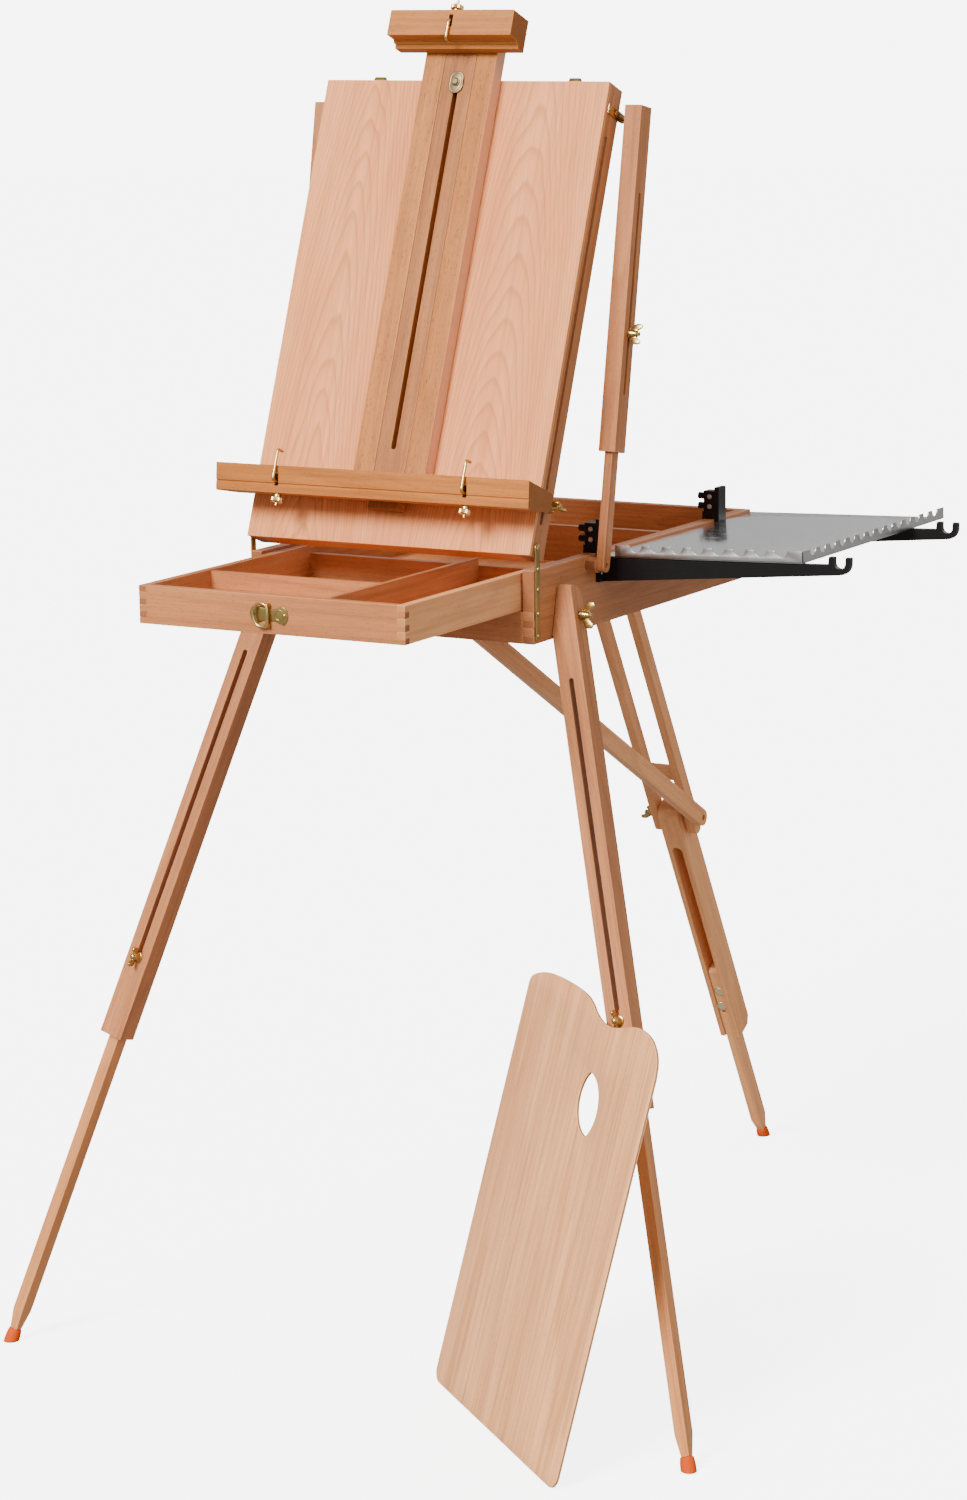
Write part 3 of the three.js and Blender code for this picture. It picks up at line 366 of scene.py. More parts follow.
def timber(
    name, grain, face, tones, seed, cross=None, rings=14.0, figure=0.55, flecks=0.5, edge=False, layers=None,
    arches=None, core_shade=0.72, streaks=0.42, pale_side=None,
):
    """Varnished wood.

    cross is (axis, centre, near, far, grain): the grain turns past far or inside near.
    layers is (normal, middle depth, half depth of the core) for plywood.
    arches is (axis, centres, pitch, steepness) for a flat-sawn face veneer.
    """
    n = Nodes(name)
    here = n.add("ShaderNodeTexCoord").outputs
    offset = Vector((0.37 * seed, 0.61 * seed, 0.23 * seed))

    def coordinates(along, through):
        axes = grain_axes(along, through)
        parts = [n.math("ADD", n.dot(here["Object"], a), offset[i]) for i, a in enumerate(axes)]
        end = n.math("ABSOLUTE", n.dot(here["Normal"], axes[0]))
        return parts, end

    (u, v, w), end = coordinates(grain, face)
    if cross:
        axis, centre, near, far, other = cross
        (u2, v2, w2), end2 = coordinates(other, face)
        place = n.math("ABSOLUTE", n.math("SUBTRACT", n.dot(here["Object"], axis), centre))
        turned_here = n.math("MAXIMUM", n.math("GREATER_THAN", place, far), n.math("LESS_THAN", place, near))
        u, v, w = (n.mix_value(turned_here, a, b) for a, b in ((u, u2), (v, v2), (w, w2)))
        end = n.mix_value(turned_here, end, end2)

    def stretched(along, across):
        factors = ((u, along), (v, across), (w, across))
        return n.combine(*(n.math("MULTIPLY", c, factor) for c, factor in factors))

    light, middle, dark = tones
    # Broad tone, growth rings as contour lines of a drawn-out noise, fibres and ray flecks.
    broad = n.noise(stretched(3.5, 24), 3, 0.55)
    contour = n.noise(stretched(1.1, 7.5), 2, 0.45, 0.25)
    count = n.math("MULTIPLY", contour, rings)
    if arches:
        # Flat-sawn veneer: nested arches about each centre line, pushed about by the same noise.
        axis, centres, pitch, steep = arches
        place = n.dot(here["Object"], axis)
        gaps = [n.math("ABSOLUTE", n.math("SUBTRACT", place, c)) for c in centres]
        gap = gaps[0]
        for other_gap in gaps[1:]:
            gap = n.math("MINIMUM", gap, other_gap)
        rise = n.math("ADD", n.math("MULTIPLY", n.math("POWER", gap, 1.7), steep), u)
        sway = n.noise(stretched(2.2, 11), 3, 0.5, 0.2)
        count = n.math("ADD", n.math("MULTIPLY", rise, 1 / pitch), n.math("MULTIPLY", sway, 7.0))
    lines = n.math("FRACT", count)
    ring = n.ramp(lines, [(0.0, (0.0,)), (0.62, (0.25,)), (0.88, (1.0,)), (1.0, (0.0,))])
    fibre = n.noise(stretched(26, 620), 4, 0.7)
    ray = n.noise(stretched(190, 980), 2, 0.5)
    dash = n.ramp(ray, [(0.60, (0.0,)), (0.69, (1.0,))])
    color = n.mix(n.ramp(broad, [(0.32, (0.0,)), (0.70, (1.0,))]), light, middle)
    color = n.mix(n.math("MULTIPLY", ring, figure * 0.50), color, dark)
    streak = n.noise(stretched(4.5, 210), 3, 0.6)
    color = n.mix(n.math("MULTIPLY", n.ramp(streak, [(0.42, (0.0,)), (0.72, (1.0,))]), streaks), color, dark)
    color = n.mix(n.math("MULTIPLY", n.ramp(fibre, [(0.45, (0.0,)), (0.75, (1.0,))]), 0.30), color, dark)
    color = n.mix(n.math("MULTIPLY", dash, flecks * 0.75), color, tuple(c * 0.62 for c in dark))
    pores = n.noise(n.combine(*(n.math("MULTIPLY", c, 1500) for c in (u, v, w))), 2, 0.6)
    sawn = n.mix(n.ramp(pores, [(0.35, (0.0,)), (0.65, (1.0,))]), tuple(c * 0.62 for c in middle), dark)
    ends = n.ramp(end, [(0.72, (0.0,)), (0.90, (1.0,))])
    color = n.mix(n.math("MULTIPLY", ends, 0.80), color, sawn)
    if pale_side:
        # Painted light: faces that look along this axis, the rail's shaded sides, are painted paler and
        # pinker than its front.
        lit_side_mask = n.math("GREATER_THAN", n.math("ABSOLUTE", n.dot(here["Normal"], pale_side)), 0.7)
        color = n.mix(n.math("MULTIPLY", lit_side_mask, 0.55), color, (0.86, 0.50, 0.32))
    if layers:
        # Plies show on the edges: the face veneers run with the grain, the core shows end grain.
        normal, middle_depth, half = layers
        depth = n.math("ABSOLUTE", n.math("SUBTRACT", n.dot(here["Object"], normal), middle_depth))
        core = n.math("LESS_THAN", depth, half)
        edge_face = n.math("LESS_THAN", n.math("ABSOLUTE", n.dot(here["Normal"], normal)), 0.5)
        strip = n.mix(core, tuple(min(c * 1.06, 0.9) for c in light), tuple(c * core_shade for c in middle))
        color = n.mix(n.math("MULTIPLY", edge_face, 0.85), color, strip)
    if edge:
        # Painted highlight: the rounded edge strip is painted lighter, as if it caught the light.
        color = n.mix(0.35, color, tuple(min(c * 1.25, 0.95) for c in light))
    gloss = n.math("ADD", n.math("MULTIPLY", fibre, 0.22), n.math("MULTIPLY", broad, 0.16))
    rough = n.math("ADD", gloss, 0.26 if edge else 0.34)
    n.set(Base_Color=color, Roughness=n.math("ADD", rough, n.math("MULTIPLY", ends, 0.18)))
    n.shader.inputs["Specular IOR Level"].default_value = 0.26
    n.shader.inputs["Coat Weight"].default_value = 0.04
    n.shader.inputs["Coat Roughness"].default_value = 0.30
    n.shader.inputs["IOR"].default_value = 1.46
    n.bump(n.math("SUBTRACT", fibre, n.math("MULTIPLY", dash, 0.8)), 0.22, 0.0004)
    return n.material


def metal(name, color, rough, scratch, tarnish, along, seed, relief=0.12):
    """Metal with fine lines along one direction and duller spots."""
    n = Nodes(name)
    here = n.add("ShaderNodeTexCoord").outputs["Object"]
    moved = n.shifted(here, (seed, seed * 0.7, seed * 0.3))
    g, v, t = grain_axes(along, Vector(along).orthogonal())
    lined = n.combine(
        n.math("MULTIPLY", n.dot(moved, g), 60),
        n.math("MULTIPLY", n.dot(moved, v), 2600),
        n.math("MULTIPLY", n.dot(moved, t), 2600),
    )
    brush = n.noise(lined, 3, 0.6)
    spots = n.noise(n.scaled(moved, 90.0), 4, 0.6)
    dull = n.ramp(spots, [(0.42, (0.0,)), (0.72, (1.0,))])
    shade = n.mix(n.math("MULTIPLY", dull, tarnish), color, tuple(c * 0.55 for c in color))
    rough_here = n.math("ADD", n.math("MULTIPLY", brush, scratch), rough)
    n.set(Base_Color=shade, Metallic=1.0, Roughness=n.math("ADD", rough_here, n.math("MULTIPLY", dull, 0.12)))
    n.bump(brush, relief, 0.0002)
    return n.material


def coating(name, color, rough, grain, depth, spread, seed, shine):
    """Powder coat or moulded rubber: pebbled surface with soft tone changes."""
    n = Nodes(name)
    here = n.add("ShaderNodeTexCoord").outputs["Object"]
    moved = n.shifted(here, (seed, seed, seed))
    fine = n.noise(n.scaled(moved, grain), 3, 0.6)
    wide = n.noise(n.scaled(moved, 45.0), 3, 0.6)
    darker = tuple(c * (1 - spread) for c in color)
    lighter = tuple(min(c * (1 + spread), 1) for c in color)
    rough_here = n.math("ADD", n.math("MULTIPLY", fine, 0.2), rough)
    n.set(Base_Color=n.mix(wide, darker, lighter), Roughness=rough_here)
    n.shader.inputs["Specular IOR Level"].default_value = shine
    n.bump(fine, 0.3, depth)
    return n.material


# ---------------------------------------------------------------- wood on the CAD nodes
X, Y, Z = Vector((1, 0, 0)), Vector((0, 1, 0)), Vector((0, 0, 1))
UP_LID, OUT_LID = direction(LID, Y), direction(LID, Z)
DOWN_REAR = direction(REAR, -Z)
FRONT_REAR = direction(REAR, -Y)
ALONG_STAY = direction(STAY, Z)
DOWN_LEG = {s: direction(LEG[s], -Z) for s in LEG}
ACROSS_LEG = {s: direction(LEG[s], Y) for s in LEG}
MID_X = ORIGIN.x
knee = REAR @ Vector((0, 0, KNEE_HEIGHT))
brace_root = BOX @ Vector((0, 92, 10))
ALONG_BRACE = knee - brace_root
ALONG_BRACE.x = 0
ALONG_BRACE.normalize()


CORE_SHARE = 0.42


def ply_layers(normal, node_low, node_high):
    """Where the core of a sheet lies, from two opposite corners of its thickness."""
    a, b = normal.dot(Vector(node_low)), normal.dot(Vector(node_high))
    return normal, (a + b) / 2, abs(b - a) / 2 * CORE_SHARE


lid_face = LID @ Vector((0, 0, 12.3))
lid_back = LID @ Vector((0, 0, 7.3))
bottom_low, bottom_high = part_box("box_bottom_panel")
drawer_low, drawer_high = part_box("drawer_bottom")
lid_cross = (X, MID_X, 0.1692, 9.0, X)
rear_cross = (X, MID_X, 0.0182, 0.0300, X)
divider_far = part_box("drawer_dividers")[1]
divider_cross = (X, divider_far.x - 0.003, -1.0, 0.0034, X)

WOOD = {
    "box_side_r": dict(grain=Y, face=X, tones=BEECH, figure=0.45),
    "box_side_l": dict(grain=Y, face=X, tones=BEECH, figure=0.45),
    "box_front_panel": dict(grain=X, face=Y, tones=BEECH),
    "box_back_panel": dict(grain=X, face=Y, tones=BEECH),
    "box_bottom_panel": dict(grain=Y, face=Z, tones=ROSE_PLY, layers=ply_layers(Z, bottom_low, bottom_high)),
    "box_partition": dict(grain=X, face=Y, tones=BEECH),
    # The dowel and the drawer's right side take the lighter beech as painted light; the drawer's left side
    # stays plain beech.
    "brace_dowel": dict(grain=X, face=Y, tones=BEECH_LIT),
    "drawer_side_r": dict(grain=Y, face=X, tones=BEECH_LIT),
    "drawer_side_l": dict(grain=Y, face=X, tones=BEECH),
    "drawer_front": dict(grain=X, face=Y, tones=BEECH, figure=0.3),
    "drawer_rear": dict(grain=X, face=Y, tones=BEECH),
    "drawer_bottom": dict(grain=X, face=Z, tones=ROSE_PLY, layers=ply_layers(Z, drawer_low, drawer_high)),
    "drawer_dividers": dict(grain=Y, face=Z, tones=BEECH, cross=divider_cross),
    "lid_panel": dict(
        grain=UP_LID, face=OUT_LID, tones=ROSE_PLY, figure=1.1, flecks=0.15,
        layers=ply_layers(OUT_LID, lid_back, lid_face),
        arches=(X, (MID_X - 0.118, MID_X + 0.104), 0.042, 42.0),
    ),
    "lid_frame": dict(grain=UP_LID, face=OUT_LID, tones=BEECH, cross=lid_cross),
    "tray_ledge": dict(grain=X, face=OUT_LID, tones=BEECH_GOLD, figure=0.4),
    # The mast's side faces are painted paler, as painted light on its shaded sides.
    "mast_frame": dict(grain=UP_LID, face=OUT_LID, tones=BEECH_GOLD, flecks=1.0, figure=0.5, pale_side=X),
    "mast_slider": dict(grain=UP_LID, face=OUT_LID, tones=BEECH_DARK, flecks=0.7),
    "clamp_block": dict(grain=X, face=OUT_LID, tones=BEECH_GOLD, figure=0.4),
    # The rear leg, its board and its brace take the lighter beech as painted light.
    "rear_leg_frame": dict(grain=DOWN_REAR, face=FRONT_REAR, tones=BEECH_LIT, cross=rear_cross),
    "rear_leg_board": dict(grain=DOWN_REAR, face=FRONT_REAR, tones=BEECH_LIT),
    "rear_leg_lower": dict(grain=DOWN_REAR, face=FRONT_REAR, tones=BEECH_LIT),
    "rear_brace": dict(grain=ALONG_BRACE, face=X, tones=BEECH_LIT),
}
for s in LEG:
    WOOD["stay_rod_" + s] = dict(grain=ALONG_STAY, face=X, tones=BEECH)
    WOOD["stay_channel_" + s] = dict(grain=ALONG_STAY, face=Y, tones=BEECH)
    WOOD["leg_upper_" + s] = dict(grain=DOWN_LEG[s], face=ACROSS_LEG[s], tones=BEECH)
    WOOD["leg_lower_" + s] = dict(grain=DOWN_LEG[s], face=ACROSS_LEG[s], tones=BEECH_MID)


def dress(node, body_look, arris_look, width):
    """Gives a CAD node its looks and rounds its edges; the rounded strip takes the second look."""
    obj = nodes[node]
    obj.data.materials.clear()
    obj.data.materials.append(body_look)
    obj.data.materials.append(arris_look)
    weld = obj.modifiers.new("Weld", "WELD")
    weld.merge_threshold = 1e-5
    bevel = obj.modifiers.new("Bevel", "BEVEL")
    bevel.width = width
    bevel.segments = 2
    bevel.limit_method = "ANGLE"
    bevel.angle_limit = math.radians(28)
    bevel.use_clamp_overlap = True
    bevel.material = 1
    normal = obj.modifiers.new("Normals", "WEIGHTED_NORMAL")
    normal.keep_sharp = True
    obj.data.shade_smooth()


WOOD_ROUND, ARM_ROUND = 0.0008, 0.0009
THIN_ROUND = {
    "drawer_dividers": 0.0004, "box_bottom_panel": 0.0003, "drawer_bottom": 0.0003, "lid_panel": 0.0006,
}
for seed, (node, look) in enumerate(sorted(WOOD.items()), 1):
    wood = timber(node + "_wood", seed=seed, **look)
    # The second look paints a highlight on the rounded edges.
    arris_highlight = timber(node + "_arris", seed=seed, edge=True, **look)
    dress(node, wood, arris_highlight, THIN_ROUND.get(node, WOOD_ROUND))

# The rounded edges of the arms get a lighter black than their faces.
ARM_BLACK, EDGE_BLACK = (0.0035, 0.0030, 0.0032), (0.010, 0.009, 0.009)
for seed, node in ((0.5, "side_arm_front"), (1.5, "side_arm_rear")):
    coat = coating(node + "_coat", ARM_BLACK, 0.30, 1100.0, 0.0003, 0.4, seed, 0.22)
    edge_coat = coating(node + "_rub", EDGE_BLACK, 0.24, 1100.0, 0.0002, 0.4, seed, 0.3)
    dress(node, coat, edge_coat, ARM_ROUND)

# ---------------------------------------------------------------- metalwork
BRASS_TONE = (0.46, 0.30, 0.10)
HOOK_BRASS = (0.56, 0.38, 0.15)
PLATE_BRASS = (0.48, 0.33, 0.11)
RING_BRASS = (0.60, 0.42, 0.17)
STRAP_BRASS = (0.40, 0.27, 0.10)
DISC_BRASS = (0.80, 0.66, 0.40)
BRONZE = (0.20, 0.14, 0.075)
SCREW_STEEL = (0.42, 0.42, 0.43)
serial = 0


def brass(along=X, tone=BRASS_TONE, rough=0.15):
    """A brass of its own for each fitting, so that no two have the same spots."""
    global serial
    serial += 1
    return metal("brass_%02d" % serial, tone, rough, 0.18, 0.3, along, serial * 0.37)


def wing_bolt(shank_from, seat, r, span, head=None):
    """Thumb bolt along local +X, wings in the local XY plane; head is (from, to, radius) at its far end."""
    s = Shape()
    s.lathe("x", (0, 0, 0), [(6.2, seat), (6.5, seat + 0.3), (6.5, seat + 1.2), (6.1, seat + 1.5)], 32)
    hub = [(5.2, 1.5), (5.3, 2.4), (4.9, 4.2), (4.3, 6.5), (4.0, 9.2), (3.4, 9.8)]
    s.lathe("x", (0, 0, 0), [(a, seat + h) for a, h in hub], 28)
    thread = [(r, shank_from), (r, seat + 1)]
    for i in range(5):
        thread += [(r * 0.84, seat + 9.4 + i * 0.72), (r * 0.98, seat + 9.7 + i * 0.72)]
    s.lathe("x", (0, 0, 0), thread + [(r * 0.6, seat + 13)], 20)
    ear = [(1.8, 2.2), (3.0, span * 0.62), (6.0, span * 0.94), (10.2, span), (14.0, span * 0.93)]
    ear += [(15.0, span * 0.72), (12.6, span * 0.5), (9.9, span * 0.36), (8.8, 2.2)]
    for k in (1, -1):
        loop = smooth_loop([(seat + h, k * v) for h, v in ear], 5)
        s.plate("z", [loop[::k]], -1.35, 1.35, 0.7)
    if head:
        lo, hi, size = head
        s.lathe("x", (0, 0, 0), [(size * 0.9, lo), (size, lo + 0.4), (size, hi - 0.1), (size * 0.97, hi)], 6)
    return s


WING_TURN = Matrix.Rotation(math.radians(78), 4, "X")
FORWARD = Matrix.Rotation(-math.pi / 2, 4, "Z") @ Matrix.Rotation(math.pi / 2, 4, "X")
LEDGE_BOLT_AT = LID @ Matrix.Translation((0, LEDGE_BOLT_HEIGHT, -2))
STAY_BOLT_AT = STAY @ Matrix.Translation((0, 0, STAY_BOLT_HEIGHT))
PIVOT_BOLT_AT = BOX @ Matrix.Translation((0, LEG_PIVOT_Y, LEG_PIVOT_Z))
KNEE_BOLT_AT = REAR @ Matrix.Translation((0, 0, KNEE_HEIGHT))
for s, side in HANDED.items():
    turn = side @ WING_TURN
    name = "ledge_bolt_" + s
    bolt = wing_bolt(162, 193.9, 2.5, 12, (160, 163.4, 5.5))
    bolt.build("wing_bolt_ledge_" + s, LEDGE_BOLT_AT @ turn, name, "brass", brass(), name)
    name = "stay_bolt_" + s
    bolt = wing_bolt(197.5, 215.3, 2.4, 12, (195.9, 199.2, 5))
    bolt.build("wing_bolt_stay_" + s, STAY_BOLT_AT @ turn, name, "brass", brass(), name)
    name = "leg_pivot_bolt_" + s
    bolt = wing_bolt(164, 213.5, 3, 15, (161, 165, 6))
    bolt.build("wing_bolt_pivot_" + s, PIVOT_BOLT_AT @ turn, name, "brass", brass(), name)
    name = "leg_clamp_bolt_" + s
    bolt = wing_bolt(-15.5, 14.3, 2.3, 12)
    stand = LEG[s] @ Matrix.Translation((0, 0, CLAMP_HEIGHT)) @ FORWARD
    bolt.build("wing_bolt_clamp_" + s, stand, name, "brass", brass(Z), name)
bolt = wing_bolt(-29.6, 30.2, 3, 12)
bolt.build("wing_bolt_knee", KNEE_BOLT_AT @ MIRROR, "knee_bolt", "brass", brass(), "knee_bolt")


def hook(path, nut, collar, x):
    """Bent wire hook with a knurled nut and a collar, each (from, to, radius) along local Y."""
    s = Shape()
    s.tube(filleted([(x, a, b) for a, b in path], 3.6, 6), 1.7, 14)
    depth = path[0][1]
    lo, hi, r = nut
    rim = [(r - 1.6, lo), (r - 0.5, lo + 0.3), (r, lo + 0.8)]
    rim += [(r, hi - 0.8), (r - 0.5, hi - 0.3), (r - 1.6, hi)]
    s.lathe("y", (x, 0, depth), rim, 56, 0.45)
    lo, hi, r = collar
    s.lathe("y", (x, 0, depth), [(r - 0.4, lo), (r, lo + 0.4), (r, hi - 0.4), (r - 0.4, hi)], 28)
    return s


LEDGE_HOOK, LEDGE_HOOK_X = [(16, 60.5), (41.5, 60.5), (41.5, 76.2), (77.2, 76.2), (77.2, 66)], 122
for s, k in SIDES:
    name = "canvas_hook_" + s
    piece = hook(LEDGE_HOOK, (19.5, 25, 7), (25, 28.2, 4.4), k * LEDGE_HOOK_X)
    piece.build("ledge_hook_" + s, LID, name, "brass", brass(UP_LID, HOOK_BRASS), name)
TOP_HOOK = [(612, 58.5), (585, 58.5), (585, 72), (562, 72), (562, 63)]
piece = hook(TOP_HOOK, (601, 606.5, 7.5), (597.9, 601, 4.6), 0.0)
piece.build("clamp_wire", LID, "clamp_hook", "brass", brass(UP_LID, HOOK_BRASS), "clamp_hook")



def rectangle(u, v, half_u, half_v):
    return [(u + a * half_u, v + b * half_v) for a, b in ((-1, -1), (1, -1), (1, 1), (-1, 1))]


# Drawer escutcheon: two lobes, a raised lip, screws, the drop ring's two staples and the strip between them.
LATCH_Z, LOBE_X, LOBE_RADIUS, WAIST_X, WAIST = 21.25, 13, 11, 7, 6.6
RING_Y, RING_STRETCH, STAPLE_OFF = -5.2, 1.2, 10.8
lobes = arc(LOBE_X, LATCH_Z, LOBE_RADIUS, -66, 66, 14)
lobes += [(WAIST_X, LATCH_Z + WAIST), (-WAIST_X, LATCH_Z + WAIST)]
lobes += arc(-LOBE_X, LATCH_Z, LOBE_RADIUS, 114, 246, 14)
lobes += [(-WAIST_X, LATCH_Z - WAIST), (WAIST_X, LATCH_Z - WAIST)]
latch = Shape().plate("y", [smooth_loop(lobes, 2)], -1.6, 0, 0.5)
lip = [arc(LOBE_X, LATCH_Z, r, 0, 350, 23) for r in (6.2, 4.6)]
latch.plate("y", [lip[0], lip[1][::-1]], -2.4, -1.2, 0.3)
for x in (19.5, -20.5):
    latch.screw("y", (x, -1.6, LATCH_Z), 2.3, -1)
for z in (LATCH_Z + STAPLE_OFF, LATCH_Z - STAPLE_OFF):
    latch.plate("y", [rectangle(0, z, 1.9, 1.8)], -6.6, 0, 0.4)
latch.plate("y", [rectangle(0, LATCH_Z, 1.7, 12.6)], -1.9, 0, 0.4)
latch.build("drawer_escutcheon", DRAWER, "drawer", "brass", brass(X, PLATE_BRASS), "latch_plate")
ring_arc = arc(-7.4, LATCH_Z, 10.6, 48, 312, 26)
ring = Shape().tube([(x, RING_Y, LATCH_Z + (z - LATCH_Z) * RING_STRETCH) for x, z in ring_arc], 1.5, 14)
ring.lathe("z", (0, RING_Y, LATCH_Z), [(1.4, -12.4), (1.7, -12), (1.7, 12), (1.4, 12.4)], 16)
ring.build("drawer_ring", DRAWER, "latch_ring", "brass", brass(X, RING_BRASS), "latch_ring")

STRAP_NEAR, STRAP_FAR, STRAP_TOE = 2.8, 11.8, 4
CATCH_X = 128
PIN_HEIGHT, PIN_DEPTH, PIN_EYE = 505.4, -30.4, 5.2


def hinge_strap(name, matrix, node):
    """Long strap on the box side, with four screws and the pin that the lid turns on."""
    outline = arc(LID_PIN_Y, LID_PIN_Z, 5.5, 0, 180, 16)
    outline += [(STRAP_NEAR, 96), (STRAP_NEAR, STRAP_TOE + 1), (STRAP_NEAR + 1, STRAP_TOE)]
    outline += [(STRAP_FAR - 1, STRAP_TOE), (STRAP_FAR, STRAP_TOE + 1), (STRAP_FAR, 96)]
    strap = Shape().plate("x", [outline], 185, 187, 0.4)
    for z in (9, 34, 61, 84):
        strap.screw("x", (186.9, LID_PIN_Y, z), 2.9, 1, height=1.9)
    pin = (0, LID_PIN_Y, LID_PIN_Z)
    strap.lathe("x", pin, [(3.4, 186.5), (3.5, 187.4), (2.8, 188.4), (1.2, 188.9)], 24)
    strap.lathe("x", pin, [(2.4, 175.6), (2.4, 186.6)], 18)
    strap.build(name, matrix, "box", "brass", brass(Z, STRAP_BRASS, 0.3), node)


def stay_strap(name, matrix, node):
    """Short strap on the lid's edge; its pin runs in the stay's groove."""
    a, t = PIN_HEIGHT, PIN_DEPTH
    outline = [(a - 5, 6.5), (a - 5.6, -8), (a - 6.4, -22), (a - PIN_EYE, t)]
    outline += arc(a, t, PIN_EYE, 185, 355, 12)
    outline += [(a + PIN_EYE, t), (a + 5.6, -16), (a + 5, 6.5)]
    strap = Shape().plate("x", [outline], 184.6, 186.2, 0.4)
    strap.lathe("x", (0, a, t), [(2.2, 185), (2.2, 196.6), (2.5, 196.7), (2.5, 197.5), (1.9, 197.8)], 20)
    for v in (2, -13):
        strap.screw("x", (186.1, a, v), 2.7, 1)
    strap.build(name, matrix, "lid", "brass", brass(Z), node)


def lid_catch(name, matrix, node):
    """Catch on the lid's far edge: a plate with two screws and a rounded nose."""
    catch = Shape().plate("y", [rectangle(CATCH_X, -11.5, 11, 6.5)], 534.6, 536.1, 0.4)
    nose = [(535.6, -15), (540, -15), (544, -14.2), (546, -12)]
    nose += [(546, -9.6), (543.6, -7.8), (539, -6.6), (535.6, -6)]
    catch.plate("x", [smooth_loop(nose, 3)], CATCH_X - 7, CATCH_X + 7, 0.8)
    for x in (CATCH_X - 8.4, CATCH_X + 8.4):
        catch.screw("y", (x, 536, -11.5), 1.7, 1, height=0.8)
    catch.build(name, matrix, "lid", "brass", brass(X), node)


for s, side in HANDED.items():
    hinge_strap("hinge_strap_" + s, BOX @ side, "lid_hinge_" + s)
    stay_strap("stay_strap_" + s, LID @ side, "stay_bracket_" + s)
    lid_catch("catch_" + s, LID @ side, "lid_catch_" + s)

# Oval plate that clamps the slider.
OVAL_HEIGHT, OVAL_STRETCH = 525, 4


def oval(radius):
    upper = arc(0, OVAL_HEIGHT + OVAL_STRETCH, radius, 0, 180, 16)
    return upper + arc(0, OVAL_HEIGHT - OVAL_STRETCH, radius, 180, 360, 16)


plate = Shape().plate("z", [oval(9)], 32, 33.4, 0.4)
plate.plate("z", [oval(9), oval(6.6)[::-1]], 33, 34, 0.4)
plate.lathe("z", (0, OVAL_HEIGHT, 0), [(4.6, 33.2), (4.8, 33.8), (4.8, 34.4), (4.4, 34.7)], 28)
plate.lathe("z", (0, OVAL_HEIGHT, 0), [(3.8, 34.4), (3.8, 36.2), (3.3, 36.6)], 6)
plate.lathe("z", (0, OVAL_HEIGHT, 0), [(2.3, 13), (2.3, 34)], 16)
plate.build("slider_washer", LID, "mast", "brass", brass(UP_LID, BRONZE, 0.36), "slider_plate")

# ---------------------------------------------------------------- rubber feet
ORANGE = (0.52, 0.058, 0.0008)
FOOT_PROFILE = [(7.1, 0.1), (7.5, 0.4), (7.9, 1.8), (8.6, 6), (8.9, 10)]
FOOT_PROFILE += [(9.0, 22), (8.8, 29), (7.8, 33), (5.2, 35.4), (1.0, 36)]


def boot(name, matrix, centre_y, start, body, node, seed):
    """Rubber end of a leg, cut level with the floor."""
    s = Shape()
    s.lathe("z", (0, centre_y, 0), [(r, -start - h) for r, h in FOOT_PROFILE], 40)
    rubber = coating(name + "_rubber", ORANGE, 0.55, 900.0, 0.0004, 0.14, seed, 0.12)
    s.build(name, matrix, body, "orange_rubber", rubber, node, cut_floor=True)


for s, k in SIDES:
    boot("boot_" + s, LEG[s], 4.5, 943, "leg_lower_" + s, "leg_foot_" + s, k * 2.1)
boot("boot_rear", REAR, -5.8, 993, "rear_leg_lower", "rear_leg_foot", 5.3)

# ---------------------------------------------------------------- side tray
TRAY_X, TRAY_Y, TRAY_Z, TRAY_TILT = (186, 443), (152, 558), 78.7, 0.031
TRAY = turned(TRAY_X[0], TRAY_Y[0], TRAY_Z, (-math.degrees(math.atan(TRAY_TILT)), "Y"))
RIM_HEIGHT, NOTCH_RADIUS, RIM_END, SHEET, BEND_RADIUS = 13.7, 7.6, 8, 1.4, 1.1
RIM_FROM, NOTCH_PITCH_FRONT, NOTCH_PITCH_END = 22, 26, 27
ARM_Y, ARM_GAP, GAP_DEPTH = (158, 467), 11, 6.4


def scalloped(length, pitch):
    """Upright rim outline with brush rests cut into its top edge."""
    count = int((length - RIM_END) // pitch)
    start = (length - count * pitch) / 2
    pts = [(0, 0.2), (length, 0.2), (length, RIM_HEIGHT)]
    for i in reversed(range(count)):
        pts += arc(start + (i + 0.5) * pitch, RIM_HEIGHT, NOTCH_RADIUS, 0, -180, 12)
    return pts + [(0, RIM_HEIGHT)]


length, depth = TRAY_X[1] - TRAY_X[0], TRAY_Y[1] - TRAY_Y[0]
front_end = ARM_Y[0] - TRAY_Y[0] + ARM_GAP
rear_start, rear_end = ARM_Y[1] - TRAY_Y[0] - ARM_GAP, ARM_Y[1] - TRAY_Y[0] + ARM_GAP
sheet = [(GAP_DEPTH, 0), (length, 0), (length, depth), (0, depth), (0, rear_end), (GAP_DEPTH, rear_end)]
sheet += [(GAP_DEPTH, rear_start), (0, rear_start), (0, front_end), (GAP_DEPTH, front_end)]
tray = Shape().plate("z", [sheet], 0, SHEET, 0.3)
front = Shape().plate("y", [scalloped(length - RIM_FROM, NOTCH_PITCH_FRONT)], 0, SHEET, 0.3)
rims = Shape().put(front.verts, front.faces, Matrix.Translation((RIM_FROM, 0, 0)))
rims.plate("x", [scalloped(depth, NOTCH_PITCH_END)], length - SHEET, length, 0.3)
